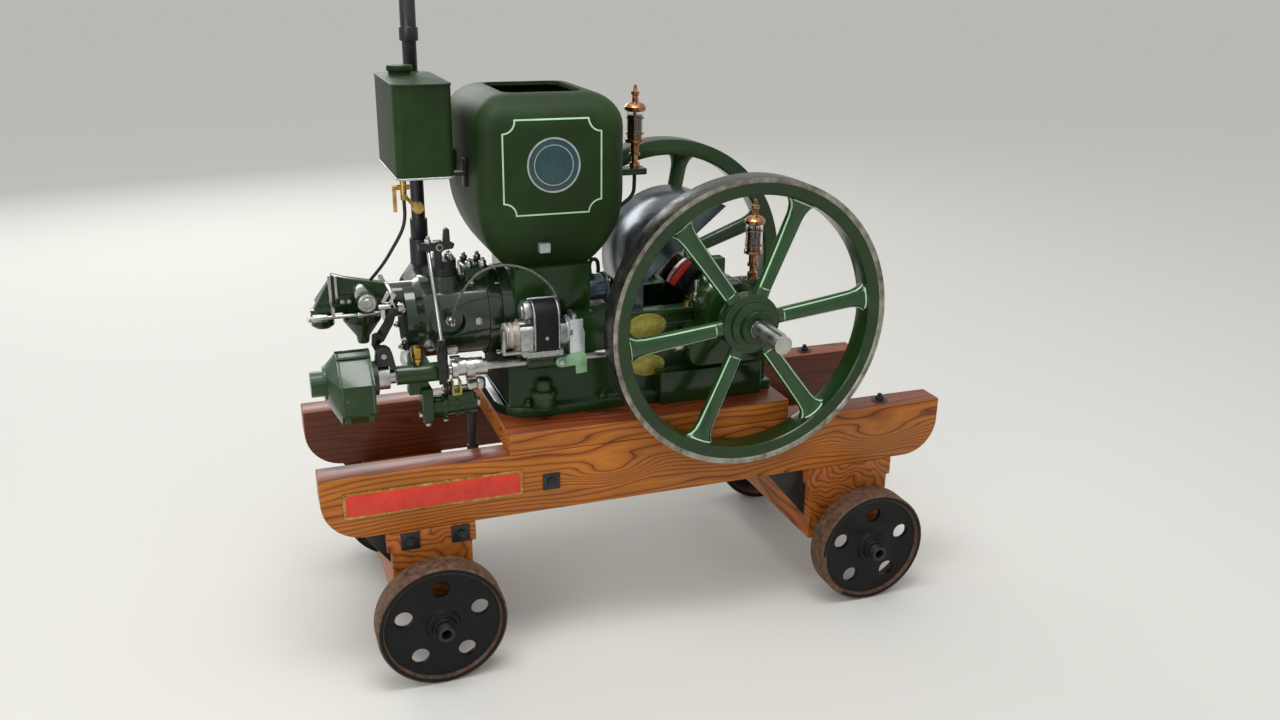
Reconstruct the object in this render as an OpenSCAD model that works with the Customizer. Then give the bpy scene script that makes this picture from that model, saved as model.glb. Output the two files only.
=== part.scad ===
// Horizontal hopper-cooled stationary engine on a four-wheeled timber trolley.
// X runs along the trolley towards the crankshaft, Y runs away from the side shaft, Z is up.
// The origin is on the ground under the middle of the trolley.

/* [Trolley timbers] */
// Length of each long beam
beam_len = 1624; // [1500:4:1800]
// Thickness of a beam, across the trolley
beam_w = 75; // [60:1:90]
// Depth of a beam
beam_h = 155; // [130:1:180]
// Width over the outer faces of the two beams
frame_w = 500; // [470:2:540]
// Radius of the rounded lower corners of a beam
beam_round = 95; // [40:1:120]
// Length of the bearers that the engine stands on
bearer_len = 731; // [700:1:800]
// Distance of the left end of the bearers from the middle of the trolley
bearer_left = 374; // [370:1:400]
// Width of a bearer
bearer_w = 130; // [110:1:140]
// Thickness of a bearer
bearer_h = 52; // [40:1:70]
// Width of the two short timbers between the bearers
cross_w = 95; // [60:1:120]
// Length of the front bolster along the trolley
front_bolster_len = 210; // [180:1:230]
// Length of the rear bolster along the trolley
rear_bolster_len = 250; // [230:1:260]
// Thickness of a bolster
bolster_h = 50; // [40:1:70]
// How much longer each bolster is than the block under it, at each end
block_in = 10; // [4:1:24]
// Distance of the middle of the rear bolster from the middle of the trolley
rear_bolster_x = 554; // [550:1:560]
// Height of the block under a bolster, down to the middle of the axle
block_h = 156.5; // [130:0.5:180]

/* [Trolley wheels] */
// Diameter of a trolley wheel
cart_wheel_d = 305; // [280:1:320]
// Width of its tread
cart_wheel_w = 63; // [45:1:70]
// Distance between the outer faces of the treads
cart_track = 706; // [690:2:720]
// Thickness of the iron rim
cart_rim_t = 15; // [10:1:22]
// Thickness of the disc between hub and rim
cart_disc_t = 14; // [10:1:20]
// Diameter of the hub
cart_hub_d = 84; // [76:1:96]
// How far the hub stands out past the tread
cart_hub_out = 14; // [8:1:20]
// Number of round holes in the disc
cart_holes = 5; // [4:1:6]
// Diameter of each round hole
cart_hole_d = 42; // [30:1:50]
// Diameter of the tubular axle
axle_d = 38; // [32:1:42]
// Bore of the tubular axle
axle_bore = 24; // [16:1:28]
// Place of the front axle, towards the governor end
front_axle_x = -567; // [-600:1:-540]
// Place of the rear axle, towards the flywheels
rear_axle_x = 578; // [540:1:600]

/* [Flywheels and crankshaft] */
// Diameter of a flywheel
fly_d = 711; // [680:1:720]
// Width of the flywheel rim
fly_rim_w = 67; // [55:1:75]
// Depth of the flywheel rim
fly_rim_t = 42; // [34:1:50]
// Distance between the outer faces of the two rims
fly_span = 652; // [640:2:670]
// Number of spokes
spokes = 6; // [5:1:6]
// Angle of the first spoke of the near flywheel
near_turn = 7; // [0:1:59]
// Angle of the first spoke of the far flywheel
far_turn = 20; // [0:1:59]
// Width of a spoke at the hub
spoke_w_hub = 38; // [30:1:44]
// Width of a spoke at the rim
spoke_w_rim = 46; // [32:1:54]
// Thickness of a spoke
spoke_t = 30; // [22:1:36]
// Diameter of the hub where the spokes spring
fly_hub_d = 146; // [130:1:160]
// Diameter of the turned boss on the hub
fly_boss_d = 108; // [90:1:120]
// Diameter of the crankshaft
shaft_d = 44.5; // [40:0.5:48]
// Diameter of the turned stub at its near end
stub_d = 43; // [38:0.5:44]
// Length of that stub
stub_len = 123; // [110:1:124]
// Length of the crankshaft from end to end
shaft_len = 954; // [940:2:980]
// Place of the crankshaft along the trolley
crank_x = 210; // [205:1:215]
// Height of the crankshaft above the ground
crank_z = 801; // [797:1:805]
// Angle at which the crank stands, up from the flywheel end
crank_angle = 140; // [0:5:355]
// Radius of the crank throw
crank_throw = 76; // [60:1:80]
// Distance from the middle of the shaft to the end of a web
web_r = 114; // [108:1:118]
// Width of a crank web
web_w = 76; // [70:1:84]
// Thickness of a crank web
web_t = 30; // [24:1:32]
// Diameter of the crankpin
crankpin_d = 42; // [36:1:48]
// Length of the crankpin between the webs
crankpin_len = 42; // [38:1:46]
// Diameter of the belt pulley
pulley_d = 236; // [200:1:260]
// Width of the belt pulley
pulley_w = 108; // [80:1:112]

/* [Engine bed] */
// Thickness of the foot flange
foot_h = 24; // [16:1:32]
// Left end of the foot flange
foot_left = -370; // [-373:1:-366]
// Right end of the foot flange
foot_right = 346; // [343:1:352]
// Half width of the foot flange
foot_half_w = 160; // [154:1:166]
// Left end of the oil box on the near side
oil_box_left = 30; // [20:1:40]
// Right end of the oil box
oil_box_right = 309; // [300:1:320]
// Distance of the front of the oil box from the middle
oil_box_out = 180; // [174:1:184]
// Half width of the crankcase
case_half_w = 130; // [126:1:134]
// Thickness of the crankcase walls
case_wall = 36; // [30:1:40]
// Distance of the inner face of a main bearing from the middle
bearing_in = 70; // [66:1:74]
// Distance of its outer face from the middle
bearing_out = 150; // [146:1:152]
// Left end of the bed under the cylinder
bed_left = -345; // [-350:1:-340]
// Left end of the crankcase
case_left = -88; // [-92:1:-84]
// Right end of the crankcase
case_right = 345; // [338:1:350]
// Height of the bed under the cylinder, above its foot
saddle_h = 112; // [100:1:118]
// Length of a main bearing along the trolley
bearing_len = 150; // [140:1:156]
// Running clearance of a shaft in its bearing, on the radius
run_gap = 0.05; // [0.02:0.01:0.09]

/* [Cylinder, head and hopper] */
// Half width of the cylinder block
block_half_w = 118; // [114:1:122]
// Left end of the cylinder block
block_left = -320; // [-324:1:-316]
// Height of the flat top of the cylinder block
block_top = 933; // [928:1:938]
// Radius of the ring flange between block and head
ring_r = 112; // [106:1:112]
// Radius of the head
head_r = 100; // [94:1:103]
// Length of the head along the trolley
head_len = 225; // [222:1:232]
// Length of the hopper along the trolley
hopper_len = 348; // [340:1:352]
// Half depth of the hopper
hopper_half_d = 195; // [180:1:200]
// Place of the middle of the hopper
hopper_x = -240; // [-244:1:-238]
// Height of the top of the hopper
hopper_top = 1336; // [1320:1:1360]
// Radius of the rounded upright corners of the hopper
hopper_corner = 46; // [40:1:54]
// Radius of the rounded shoulder of the hopper
hopper_shoulder = 76; // [60:1:80]
// Thickness of the hopper wall
hopper_wall = 9; // [7:0.5:12]
// Height at which the hopper starts to narrow
hopper_waist = 1112; // [1100:1:1120]
// Half width of the throat of the hopper
throat_half = 101; // [96:1:104]
// Half depth of the throat
throat_half_d = 114; // [108:1:116]
// Place of the middle of the throat
throat_x = -235; // [-238:1:-232]

/* [Fuel tank and exhaust] */
// Width of the fuel tank along the trolley
tank_len = 128; // [120:1:132]
// Depth of the fuel tank
tank_depth = 290; // [270:2:296]
// Height of the tank wall
tank_h = 196; // [180:1:220]
// Height of the underside of the tank
tank_z = 1156; // [1150:1:1162]
// Gap between the tank and the hopper
tank_gap = 41; // [38:1:46]
// Thickness of the tank wall
tank_wall = 3; // [2:0.5:4]
// Thickness of the top and floor plates of the tank
tank_plate = 5; // [4:0.5:7]
// Outer diameter of the exhaust pipe
exhaust_d = 33.7; // [30:0.1:38]
// Bore of the exhaust pipe
exhaust_bore = 27; // [22:0.5:28]
// Height of the open end of the exhaust pipe
exhaust_top = 1640; // [1560:5:1800]
// Distance of the exhaust pipe behind the middle of the engine
exhaust_y = 180; // [178:1:184]

/* [Side shaft, governor and magneto] */
// Diameter of the side shaft
side_d = 22; // [18:1:24]
// Distance of the side shaft in front of the middle of the engine
side_y = 185; // [183:1:188]
// Height of the side shaft
side_z = 722; // [718:1:726]
// Half width of the governor housing
governor_half_w = 80; // [74:1:84]
// Left end of the governor boss
governor_left = -806; // [-810:1:-800]
// Diameter of the valve cams
cam_d = 52; // [44:1:54]
// Radius of the guard over the crank
guard_r = 176; // [172:1:180]
// Half width of the guard over the crank
guard_half_w = 108; // [100:1:114]
// Thickness of the guard sheet
guard_t = 4; // [3:0.5:6]

/* [Hidden] */

$fn = 72;
eps = 1;

// Heights of the trolley, from the ground up
axle_z = cart_wheel_d / 2;
bolster_z = axle_z + block_h;
beam_z = bolster_z + bolster_h;
beam_top = beam_z + beam_h;
deck_z = beam_top + bearer_h;
beam_mid_y = (frame_w - beam_w) / 2;
bearer_mid_y = (frame_w - bearer_w) / 2;
bearer_in = frame_w / 2 - bearer_w;
bearer_mid_x = bearer_len / 2 - bearer_left;
clip_t = 8;
clip_w = 40;
clip_y = 190;
seat_gap = 0.3;

// Trolley wheels
cart_wheel_y = (cart_track - cart_wheel_w) / 2;
cart_hole_r = (cart_hub_d / 2 + cart_wheel_d / 2 - cart_rim_t) / 2 + 4;
cart_disc_in = 10;
axle_len = cart_track + 2 * (cart_hub_out + 22);

// Flywheels
fly_y = (fly_span - fly_rim_w) / 2;
fly_r = fly_d / 2;
fly_hub_out = 26;
fly_hub_in = 16;
web_y = crankpin_len / 2 + web_t / 2;
shaft_in = web_y * 2 - web_t;

// Bed
bed_foot_top = deck_z + foot_h;
saddle_z = bed_foot_top + saddle_h;
case_top = crank_z;
bearing_seat = crank_z - 40;
pit_gap = 14;
floor_z = crank_z - web_r - pit_gap;
bearing_y = (bearing_in + bearing_out) / 2;
bearing_w = bearing_out - bearing_in;

// Cylinder and hopper
ring_t = 25;
head_right = block_left - ring_t;
head_left = head_right - head_len;
port_left = head_left - 36;
port_low = crank_z + 47;
port_r = 42;
hopper_left = hopper_x - hopper_len / 2;
hopper_right = hopper_x + hopper_len / 2;
chest_x = -472;
chest_y = -36;
chest_seat = crank_z + head_r + 11;
chest_h = 35;
plug_x = -470;
plug_z = crank_z + 7;
plug_floor_y = -head_r + 30;

// Tank
tank_right = hopper_left - tank_gap;
tank_x = tank_right - tank_len / 2;
tank_corner = 18;

// Exhaust
exhaust_x = -490;
exhaust_port_y = head_r + 12;
exhaust_port_z = crank_z + 45;
exhaust_port_x = -515;
collar_z = 1430;
elbow_d = 51;
elbow_top = 950;
coupling_h = 50;
coupling_d = 43;

// Side shaft
sleeve_left = -618;
sleeve_right = -500;
sleeve_d = 44;
cam_left = sleeve_right + 8;
cam_right = -410;
table_left = -312;
table_right = -236;
gear_left = 90;
gear_right = 286;
gear_front = -222;
governor_right = -660;
side_left = governor_right + 4;
side_right = gear_left + 26;
breather_right = -84;
guard_x = 147;
guard_z = 888;

// Points along a smooth curve through the given points
function spline_point(p, i, t) =
    let (a = p[max(i - 1, 0)], b = p[i], c = p[i + 1], d = p[min(i + 2, len(p) - 1)])
    0.5 * ((2 * b) + (c - a) * t + (2 * a - 5 * b + 4 * c - d) * t * t
    + (3 * b - a - 3 * c + d) * t * t * t);
function spline(p, n) = concat(
    [for (i = [0 : len(p) - 2]) for (k = [0 : n - 1]) spline_point(p, i, k / n)],
    [p[len(p) - 1]]);
function unit(v) = v / norm(v);
function heading(p, i) = unit(p[min(i + 1, len(p) - 1)] - p[max(i - 1, 0)]);
// Carries a side direction along the curve without twist
function carry(side, ahead) = unit(side - ahead * (side * ahead));
function sides(p, i = 0, last = [0, 0, 1], out = []) =
    i == len(p) ? out
    : let (start = abs(heading(p, 0)[2]) > 0.9 ? [1, 0, 0] : last,
           s = carry(i == 0 ? start : last, heading(p, i)))
      sides(p, i + 1, s, concat(out, [s]));

// Solid through a stack of rings of n points each
module skin(rings, n) {
    last = len(rings) / n - 1;
    walls = [for (i = [0 : last - 1]) for (k = [0 : n - 1])
        [(i + 1) * n + k, (i + 1) * n + (k + 1) % n, i * n + (k + 1) % n, i * n + k]];
    ends = [[for (k = [0 : n - 1]) k], [for (k = [0 : n - 1]) last * n + n - 1 - k]];
    polyhedron(points = rings, faces = concat(ends, walls), convexity = 10);
}
// Round tube of radius r along the points p, with n flat sides
module swept_tube(p, r, n = 8) {
    s = sides(p);
    skin([for (i = [0 : len(p) - 1]) for (k = [0 : n - 1])
        p[i] + r * (cos(360 * k / n) * s[i] + sin(360 * k / n) * cross(heading(p, i), s[i]))], n);
}

// Cylinder along X between two places
module bar_x(x0, x1, d, y = 0, z = 0, fn = $fn) {
    translate([x0, y, z]) rotate([0, 90, 0]) cylinder(h = x1 - x0, d = d, $fn = fn);
}
// Cylinder along Y between two places
module bar_y(y0, y1, d, x = 0, z = 0, fn = $fn) {
    translate([x, y1, z]) rotate([90, 0, 0]) cylinder(h = y1 - y0, d = d, $fn = fn);
}
// Cylinder along Z between two heights
module bar_z(z0, z1, d, x = 0, y = 0, fn = $fn) {
    translate([x, y, z0]) cylinder(h = z1 - z0, d = d, $fn = fn);
}
// Box between two corners
module span_box(a, b) {
    translate(a) cube(b - a);
}
// Flat shape drawn in X and Z, given a thickness from y0 to y1
module slab_xz(y0, y1) {
    translate([0, y1, 0]) rotate([90, 0, 0]) linear_extrude(y1 - y0) children();
}
// Rectangle with round corners about the origin
module round_rect(w, h, r) {
    union() {
        square([w - 2 * r, h], center = true);
        square([w, h - 2 * r], center = true);
        for (sx = [-1, 1]) for (sy = [-1, 1])
            translate([sx * (w / 2 - r), sy * (h / 2 - r)]) circle(r);
    }
}

// Trolley

module beam(side) {
    color("peru") translate([0, side * beam_mid_y, 0]) slab_xz(-beam_w / 2, beam_w / 2)
        difference() {
            translate([-beam_len / 2, beam_z]) square([beam_len, beam_h]);
            for (e = [-1, 1]) difference() {
                translate([e * (beam_len / 2 - beam_round / 2 + eps / 2), beam_z + beam_round / 2 - eps / 2])
                    square([beam_round + eps, beam_round + eps], center = true);
                translate([e * (beam_len / 2 - beam_round), beam_z + beam_round]) circle(beam_round);
            }
        }
}
module near_beam() { beam(-1); }
module far_beam() { beam(1); }

module bearer(side) {
    color("chocolate") translate([bearer_mid_x, side * bearer_mid_y, beam_top + bearer_h / 2])
        cube([bearer_len, bearer_w, bearer_h], center = true);
}
module engine_bearers() {
    bearer(-1);
    bearer(1);
    for (e = [-1, 1]) color("saddlebrown")
        translate([bearer_mid_x + e * (bearer_len - cross_w) / 2, 0, beam_top + bearer_h / 2])
            cube([cross_w, 2 * bearer_in, bearer_h], center = true);
}

module bolster(x, len, x_axle) {
    color("peru") difference() {
        union() {
            translate([x, 0, bolster_z + bolster_h / 2])
                cube([len, frame_w, bolster_h], center = true);
            translate([x, 0, axle_z + block_h / 2])
                cube([len - 2 * block_in, frame_w, block_h], center = true);
        }
        bar_y(-frame_w, frame_w, axle_d + 2 * seat_gap, x_axle, axle_z);
    }
}
module front_bolster() { bolster(front_axle_x, front_bolster_len, front_axle_x); }
module rear_bolster() { bolster(rear_bolster_x, rear_bolster_len, rear_axle_x); }

module axle(x) {
    color("dimgray") difference() {
        bar_y(-axle_len / 2, axle_len / 2, axle_d, x, axle_z);
        bar_y(-axle_len, axle_len, axle_bore, x, axle_z);
    }
}
module axles() {
    axle(front_axle_x);
    axle(rear_axle_x);
}

// Half-round iron clips that hold each axle up to its block
module axle_clips() {
    for (x = [front_axle_x, rear_axle_x]) for (s = [-1, 1]) color("black")
        translate([x, s * clip_y, axle_z]) slab_xz(-clip_w / 2, clip_w / 2) difference() {
            union() {
                circle(d = axle_d + 2 * seat_gap + 2 * clip_t);
                translate([-axle_d / 2 - 34, -clip_t]) square([axle_d + 68, clip_t]);
            }
            circle(d = axle_d + 2 * seat_gap);
            translate([-axle_d * 2, 0]) square([axle_d * 4, axle_d * 2]);
        }
}

// Triangular iron stays between the beams and the left face of each block
module stay(edge, len, drop) {
    face = edge + block_in;
    lip = block_in;
    translate([0, beam_mid_y, 0]) slab_xz(-7, 7)
        polygon([[face, bolster_z], [face - lip, bolster_z], [face - lip, beam_z],
                 [face - len, beam_z], [face - len, beam_z - 10], [face, beam_z - drop]]);
}
module axle_irons() {
    axle_clips();
    for (s = [0, 1]) mirror([0, s, 0]) color("black") {
        stay(front_axle_x - front_bolster_len / 2, 60, 92);
        stay(rear_bolster_x - rear_bolster_len / 2, 118, 150);
    }
}

module cart_wheel(x, side) {
    rim_in = cart_wheel_d / 2 - cart_rim_t;
    outer = cart_wheel_w / 2;
    hub_r = cart_hub_d / 2;
    disc_out = outer - cart_disc_in;
    color("dimgray") translate([x, side * cart_wheel_y, axle_z]) rotate([-side * 90, 0, 0])
        difference() {
            rotate_extrude($fn = 96) {
                difference() {
                    polygon([[axle_d / 2 + run_gap, -outer], [hub_r - 6, -outer], [hub_r, -outer + 6],
                             [hub_r + 4, disc_out - cart_disc_t], [rim_in - 6, disc_out - cart_disc_t],
                             [rim_in, disc_out - cart_disc_t - 8], [rim_in, -outer],
                             [cart_wheel_d / 2 - 1, -outer], [cart_wheel_d / 2, -outer + 3],
                             [cart_wheel_d / 2, outer - 3], [cart_wheel_d / 2 - 3, outer],
                             [rim_in, outer], [rim_in, disc_out], [hub_r, disc_out],
                             [hub_r - 4, outer], [hub_r - 12, outer],
                             [hub_r - 15, outer + cart_hub_out], [axle_d / 2 + run_gap, outer + cart_hub_out]]);
                }
            }
            for (k = [0 : cart_holes - 1]) rotate([0, 0, 90 + 360 * k / cart_holes])
                translate([cart_hole_r, 0, -cart_wheel_w]) cylinder(h = 2 * cart_wheel_w, d = cart_hole_d);
        }
}
module near_front_wheel() { cart_wheel(front_axle_x, -1); }
module far_front_wheel() { cart_wheel(front_axle_x, 1); }
module near_rear_wheel() { cart_wheel(rear_axle_x, -1); }
module far_rear_wheel() { cart_wheel(rear_axle_x, 1); }

// Bed and main bearings

// Foot of the bed, with large round corners at the cylinder end
module foot_outline() {
    intersection() {
        translate([foot_left + 450, 0]) round_rect(900, 2 * foot_half_w, 90);
        translate([foot_left - 1, -foot_half_w]) square([foot_right - foot_left + 1, 2 * foot_half_w]);
    }
}

module engine_bed() {
    pit_half = case_half_w - case_wall;
    color("darkgreen") difference() {
        union() {
            translate([0, 0, deck_z]) linear_extrude(foot_h) foot_outline();
            span_box([bed_left, -case_half_w, bed_foot_top - eps], [case_left + eps, case_half_w, saddle_z]);
            span_box([case_left, -case_half_w, bed_foot_top - eps], [case_right, case_half_w, case_top]);
            for (s = [-1, 1]) for (z = [case_top - 14, case_top - 50]) span_box(
                [case_left, s * case_half_w - 6, z], [case_right, s * case_half_w + 6, z + 14]);
            for (s = [-1, 1]) translate([crank_x, s * (bearing_out + pit_half) / 2, case_top - 70]) slab_xz(
                -(bearing_out - pit_half) / 2, (bearing_out - pit_half) / 2)
                polygon([[-bearing_len / 2, 70], [-bearing_len / 2, 0], [-bearing_len / 2 + 40, -60],
                         [bearing_len / 2 - 40, -60], [bearing_len / 2, 0], [bearing_len / 2, 70]]);
        }
        span_box([case_left + 24, -pit_half, floor_z], [case_right - 14, pit_half, case_top + eps]);
        bar_x(head_right - eps, block_left + eps + seat_gap, 2 * (ring_r + seat_gap), 0, crank_z, 96);
        for (s = [-1, 1]) span_box([crank_x - bearing_len / 2, s * bearing_y - bearing_w, bearing_seat],
                                   [crank_x + bearing_len / 2, s * bearing_y + bearing_w, case_top + eps]);
        span_box([oil_box_left, -oil_box_out, deck_z - eps], [oil_box_right, -case_half_w, deck_z + 84]);
    }
}

module main_bearings() {
    for (s = [-1, 1]) color("darkgreen") difference() {
        union() {
            span_box([crank_x - bearing_len / 2, s * bearing_y - bearing_w / 2, bearing_seat],
                     [crank_x + bearing_len / 2, s * bearing_y + bearing_w / 2, case_top + 14]);
            bar_y(s * bearing_y - bearing_w / 2, s * bearing_y + bearing_w / 2, 138, crank_x, crank_z);
            span_box([crank_x, s * bearing_y - 20, case_top + 6], [oiler_x + 16, s * bearing_y + 20, oiler_z]);
        }
        bar_y(s * bearing_y - bearing_w, s * bearing_y + bearing_w, shaft_d + 2 * run_gap, crank_x, crank_z);
        span_box([crank_x - bearing_len, s * bearing_y - bearing_w, bearing_seat - 60],
                 [crank_x + bearing_len, s * bearing_y + bearing_w, bearing_seat]);
    }
}

module oil_box() {
    color("darkgreen") union() {
        span_box([oil_box_left, -oil_box_out, deck_z], [oil_box_right, -case_half_w, deck_z + 84]);
    }
}

// Cylinder, head and hopper

module cylinder_block() {
    color("darkgreen") {
        difference() {
            union() {
                span_box([block_left, -block_half_w, saddle_z], [case_left - seat_gap, block_half_w, block_top]);
                bar_x(head_right, block_left + eps, 2 * ring_r, 0, crank_z, 96);
            }
            for (s = [-1, 1]) translate([0, s * block_half_w, block_top]) rotate([45, 0, 0])
                cube([900, 8, 8], center = true);
        }
        bar_x(block_left + 175, breather_right, 66, -88, 862);
        bar_x(breather_right - 8, breather_right, 72, -88, 862);
    }
}

// How far one side of the hopper has drawn in at height z, for a given run to the throat
function draw_in(z, run) =
    let (fall = hopper_waist - block_top, arc = (run * run + fall * fall) / (2 * run),
         rise = z - (hopper_top - hopper_shoulder))
    z < hopper_waist ? arc - sqrt(arc * arc - pow(hopper_waist - z, 2))
    : rise > 0 ? hopper_shoulder - sqrt(max(0, pow(hopper_shoulder, 2) - rise * rise)) : 0;
// Ring of points round the hopper at height z, inside its face by the given inset
function hopper_ring(z, inset) =
    let (left = hopper_left + draw_in(z, throat_x - throat_half - hopper_left) + inset,
         right = hopper_right - draw_in(z, hopper_right - throat_x - throat_half) - inset,
         deep = hopper_half_d - draw_in(z, hopper_half_d - throat_half_d) - inset,
         r = max(hopper_corner - 0.35 * (hopper_half_d - inset - deep) - inset, 12))
    [for (q = [0 : 3]) for (k = [0 : corner_steps])
        let (a = 90 * q + 90 * k / corner_steps, right_side = q == 0 || q == 3, far_side = q < 2)
        [(right_side ? right - r : left + r) + r * cos(a), (far_side ? deep - r : r - deep) + r * sin(a), z]];
corner_steps = 7;
taper_steps = 9;
module hopper_solid(inset, low) {
    heights = concat([for (k = [0 : taper_steps]) low + (hopper_waist - low) * k / taper_steps],
                     [for (k = [0 : 8]) hopper_top - hopper_shoulder * (1 - sin(90 * k / 8))]);
    rings = [for (z = heights) hopper_ring(z, inset)];
    skin([for (ring = rings) for (point = ring) point], 4 * (corner_steps + 1));
}
module water_hopper() {
    mouth_l = hopper_len - 2 * hopper_shoulder - 8;
    mouth_d = 2 * hopper_half_d - 2 * hopper_shoulder - 8;
    color("darkgreen") difference() {
        hopper_solid(0, block_top);
        intersection() {
            hopper_solid(hopper_wall, block_top + 14);
            span_box([-900, -400, block_top], [400, 400, hopper_top - hopper_wall]);
        }
        translate([hopper_x, 0, hopper_top - 2 * hopper_wall]) linear_extrude(4 * hopper_wall)
            round_rect(mouth_l, mouth_d, 30);
    }
}

module cylinder_head() {
    color("darkgreen") difference() {
        union() {
            bar_x(head_right - 33, head_right, 2 * head_r + 16, 0, crank_z, 96);
            bar_x(head_left + 40, head_right - 30, 2 * head_r, 0, crank_z, 96);
            translate([head_left + 24, 0, crank_z]) rotate([0, 90, 0])
                cylinder(h = 17, r1 = head_r - 13, r2 = head_r, $fn = 96);
            bar_x(head_left, head_left + 25, 2 * head_r - 28, 0, crank_z, 96);
            bar_z(crank_z, chest_seat, 74, chest_x, chest_y);
            bar_y(0, exhaust_port_y, 84, exhaust_port_x, exhaust_port_z);
            bar_x(port_left, head_left + 60, 2 * port_r, 0, port_low);
        }
        bar_y(-2 * head_r, plug_floor_y, 66, plug_x, plug_z);
    }
}

module plug() {
    color("white") {
        bar_y(plug_floor_y - 14, plug_floor_y, 24, plug_x, plug_z, 6);
        bar_y(plug_floor_y - 20, plug_floor_y - 13, 16, plug_x, plug_z);
        bar_y(plug_floor_y - 44, plug_floor_y - 19, 11, plug_x, plug_z);
        bar_y(plug_floor_y - 52, plug_floor_y - 43, 7, plug_x, plug_z);
    }
}

module valve_chest() {
    top = chest_seat + chest_h;
    color("darkgreen") {
        bar_z(chest_seat, top, 60, chest_x, chest_y);
        bar_z(chest_seat, chest_seat + 8, 68, chest_x, chest_y);
        for (a = [45 : 90 : 359]) bar_z(top - eps, top + 9, 16,
            chest_x + 20 * cos(a), chest_y + 20 * sin(a), 6);
        span_box([rocker_x - 9, chest_y - 52, top - 12], [rocker_x + 9, chest_y - 8, top]);
        span_box([rocker_x - 9, rocker_y + 12, top - 1], [rocker_x + 9, rocker_y + 22, rocker_z + 10]);
        bar_y(rocker_y - 16, rocker_y + 13, 12, rocker_x, rocker_z);
    }
}

rocker_x = -494;
rocker_y = -108;
rocker_z = 996;
module rocker_arm() {
    color("black") difference() {
        union() {
            bar_y(rocker_y - 11, rocker_y + 11, 26, rocker_x, rocker_z);
            slab_xz(rocker_y - 7, rocker_y + 7) translate([rocker_x, rocker_z]) polygon([[-38, -7],
                [-18, -9], [0, -10], [32, -6], [36, 4], [26, 10], [25, 38], [19, 42], [13, 38],
                [10, 10], [0, 12], [-38, 8]]);
            bar_x(rocker_x - 46, rocker_x - 30, 18, rocker_y, rocker_z, 6);
        }
        bar_y(rocker_y - 40, rocker_y + 40, 12 + 2 * seat_gap, rocker_x, rocker_z);
    }
}

lever_y0 = -217;
lever_y1 = -209;
lever_x = -516;
lever_top_z = 806;
module cam_lever() {
    color("black") {
        slab_xz(lever_y0, lever_y1) polygon([[lever_x - 9, 700], [lever_x + 9, 700],
            [lever_x + 12, 770], [lever_x + 8, lever_top_z], [lever_x - 8, lever_top_z], [lever_x - 12, 772]]);
        bar_y(lever_y1 - eps, -104, 20, lever_x, 778);
        bar_y(lever_y0 - 8, lever_y0 + eps, 22, lever_x, 778, 6);
    }
}

module valve_pushrod() {
    cam_lever();
    top = [-518, rocker_y, rocker_z - 10.9];
    low = [lever_x, (lever_y0 + lever_y1) / 2, lever_top_z - 1];
    color("silver") swept_tube([low, low + (top - low) * 0.04, low + (top - low) * 0.96, top], 4.5, 12);
}

// Exhaust

module exhaust_elbow() {
    color("black") difference() {
        union() {
            hull() {
                bar_y(exhaust_port_y, exhaust_port_y + 12, 84, exhaust_port_x, exhaust_port_z, 32);
                bar_z(872, 884, 55, exhaust_x, exhaust_y, 32);
            }
            bar_z(883, elbow_top, elbow_d, exhaust_x, exhaust_y);
        }
        bar_z(896, elbow_top + eps, exhaust_bore, exhaust_x, exhaust_y);
    }
}

module exhaust_pipe() {
    color("black") difference() {
        union() {
            bar_z(elbow_top, elbow_top + coupling_h, coupling_d, exhaust_x, exhaust_y);
            bar_z(elbow_top, collar_z + eps, exhaust_d, exhaust_x, exhaust_y);
            bar_z(collar_z, collar_z + 32, exhaust_d + 11, exhaust_x, exhaust_y);
            bar_z(collar_z + 31, exhaust_top, exhaust_d + 4, exhaust_x, exhaust_y);
        }
        bar_z(elbow_top - eps, exhaust_top + eps, exhaust_bore, exhaust_x, exhaust_y);
    }
}

// Fuel tank and its fittings

module tank_outline(grow) {
    translate([tank_x, 0]) round_rect(tank_len + 2 * grow, tank_depth + 2 * grow, tank_corner + grow);
}
module fuel_tank() {
    color("darkgreen") translate([0, 0, tank_z + tank_plate]) linear_extrude(tank_h) difference() {
        tank_outline(0);
        tank_outline(-tank_wall);
    }
}
module tank_floor() {
    color("silver") translate([0, 0, tank_z]) linear_extrude(tank_plate) tank_outline(2);
}
module tank_top() {
    z = tank_z + tank_plate + tank_h;
    color("darkgreen") {
        translate([0, 0, z]) linear_extrude(tank_plate) tank_outline(2);
        bar_z(z + tank_plate - eps, z + tank_plate + 10, 52, tank_x - 14, 70);
        bar_z(z + tank_plate + 9, z + tank_plate + 22, 60, tank_x - 14, 70);
    }
}
arm_y = [-60, 80];
module tank_bracket() {
    color("black") for (y = arm_y) {
        span_box([tank_x - tank_len / 2 + 20, y - 14, tank_z - 8], [hopper_left, y + 14, tank_z]);
        span_box([hopper_left - 8, y - 14, tank_z - 34], [hopper_left, y + 14, tank_z + 30]);
    }
}
tap_x = -568;
tap_y = -120;
module taps() {
    color("gold") {
        bar_z(tank_z - 46, tank_z, 14, tap_x, tap_y);
        bar_x(tap_x - 24, tap_x + 14, 11, tap_y, tank_z - 18);
        span_box([tap_x - 24, tap_y - 4, tank_z - 72], [tap_x - 16, tap_y + 4, tank_z - 14]);
        bar_y(tap_y - 30, tap_y, 10, tap_x, tank_z - 34);
        translate([tap_x, tap_y - 26, tank_z - 34]) rotate([0, -40, 0])
            span_box([-4, -4, -34], [4, 4, 4]);
        bar_y(tap_y - 34, tap_y - 20, 25, tap_x + 26, tank_z - 60);
    }
}
fuel_end = [-645, -58, 916.4];
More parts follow.
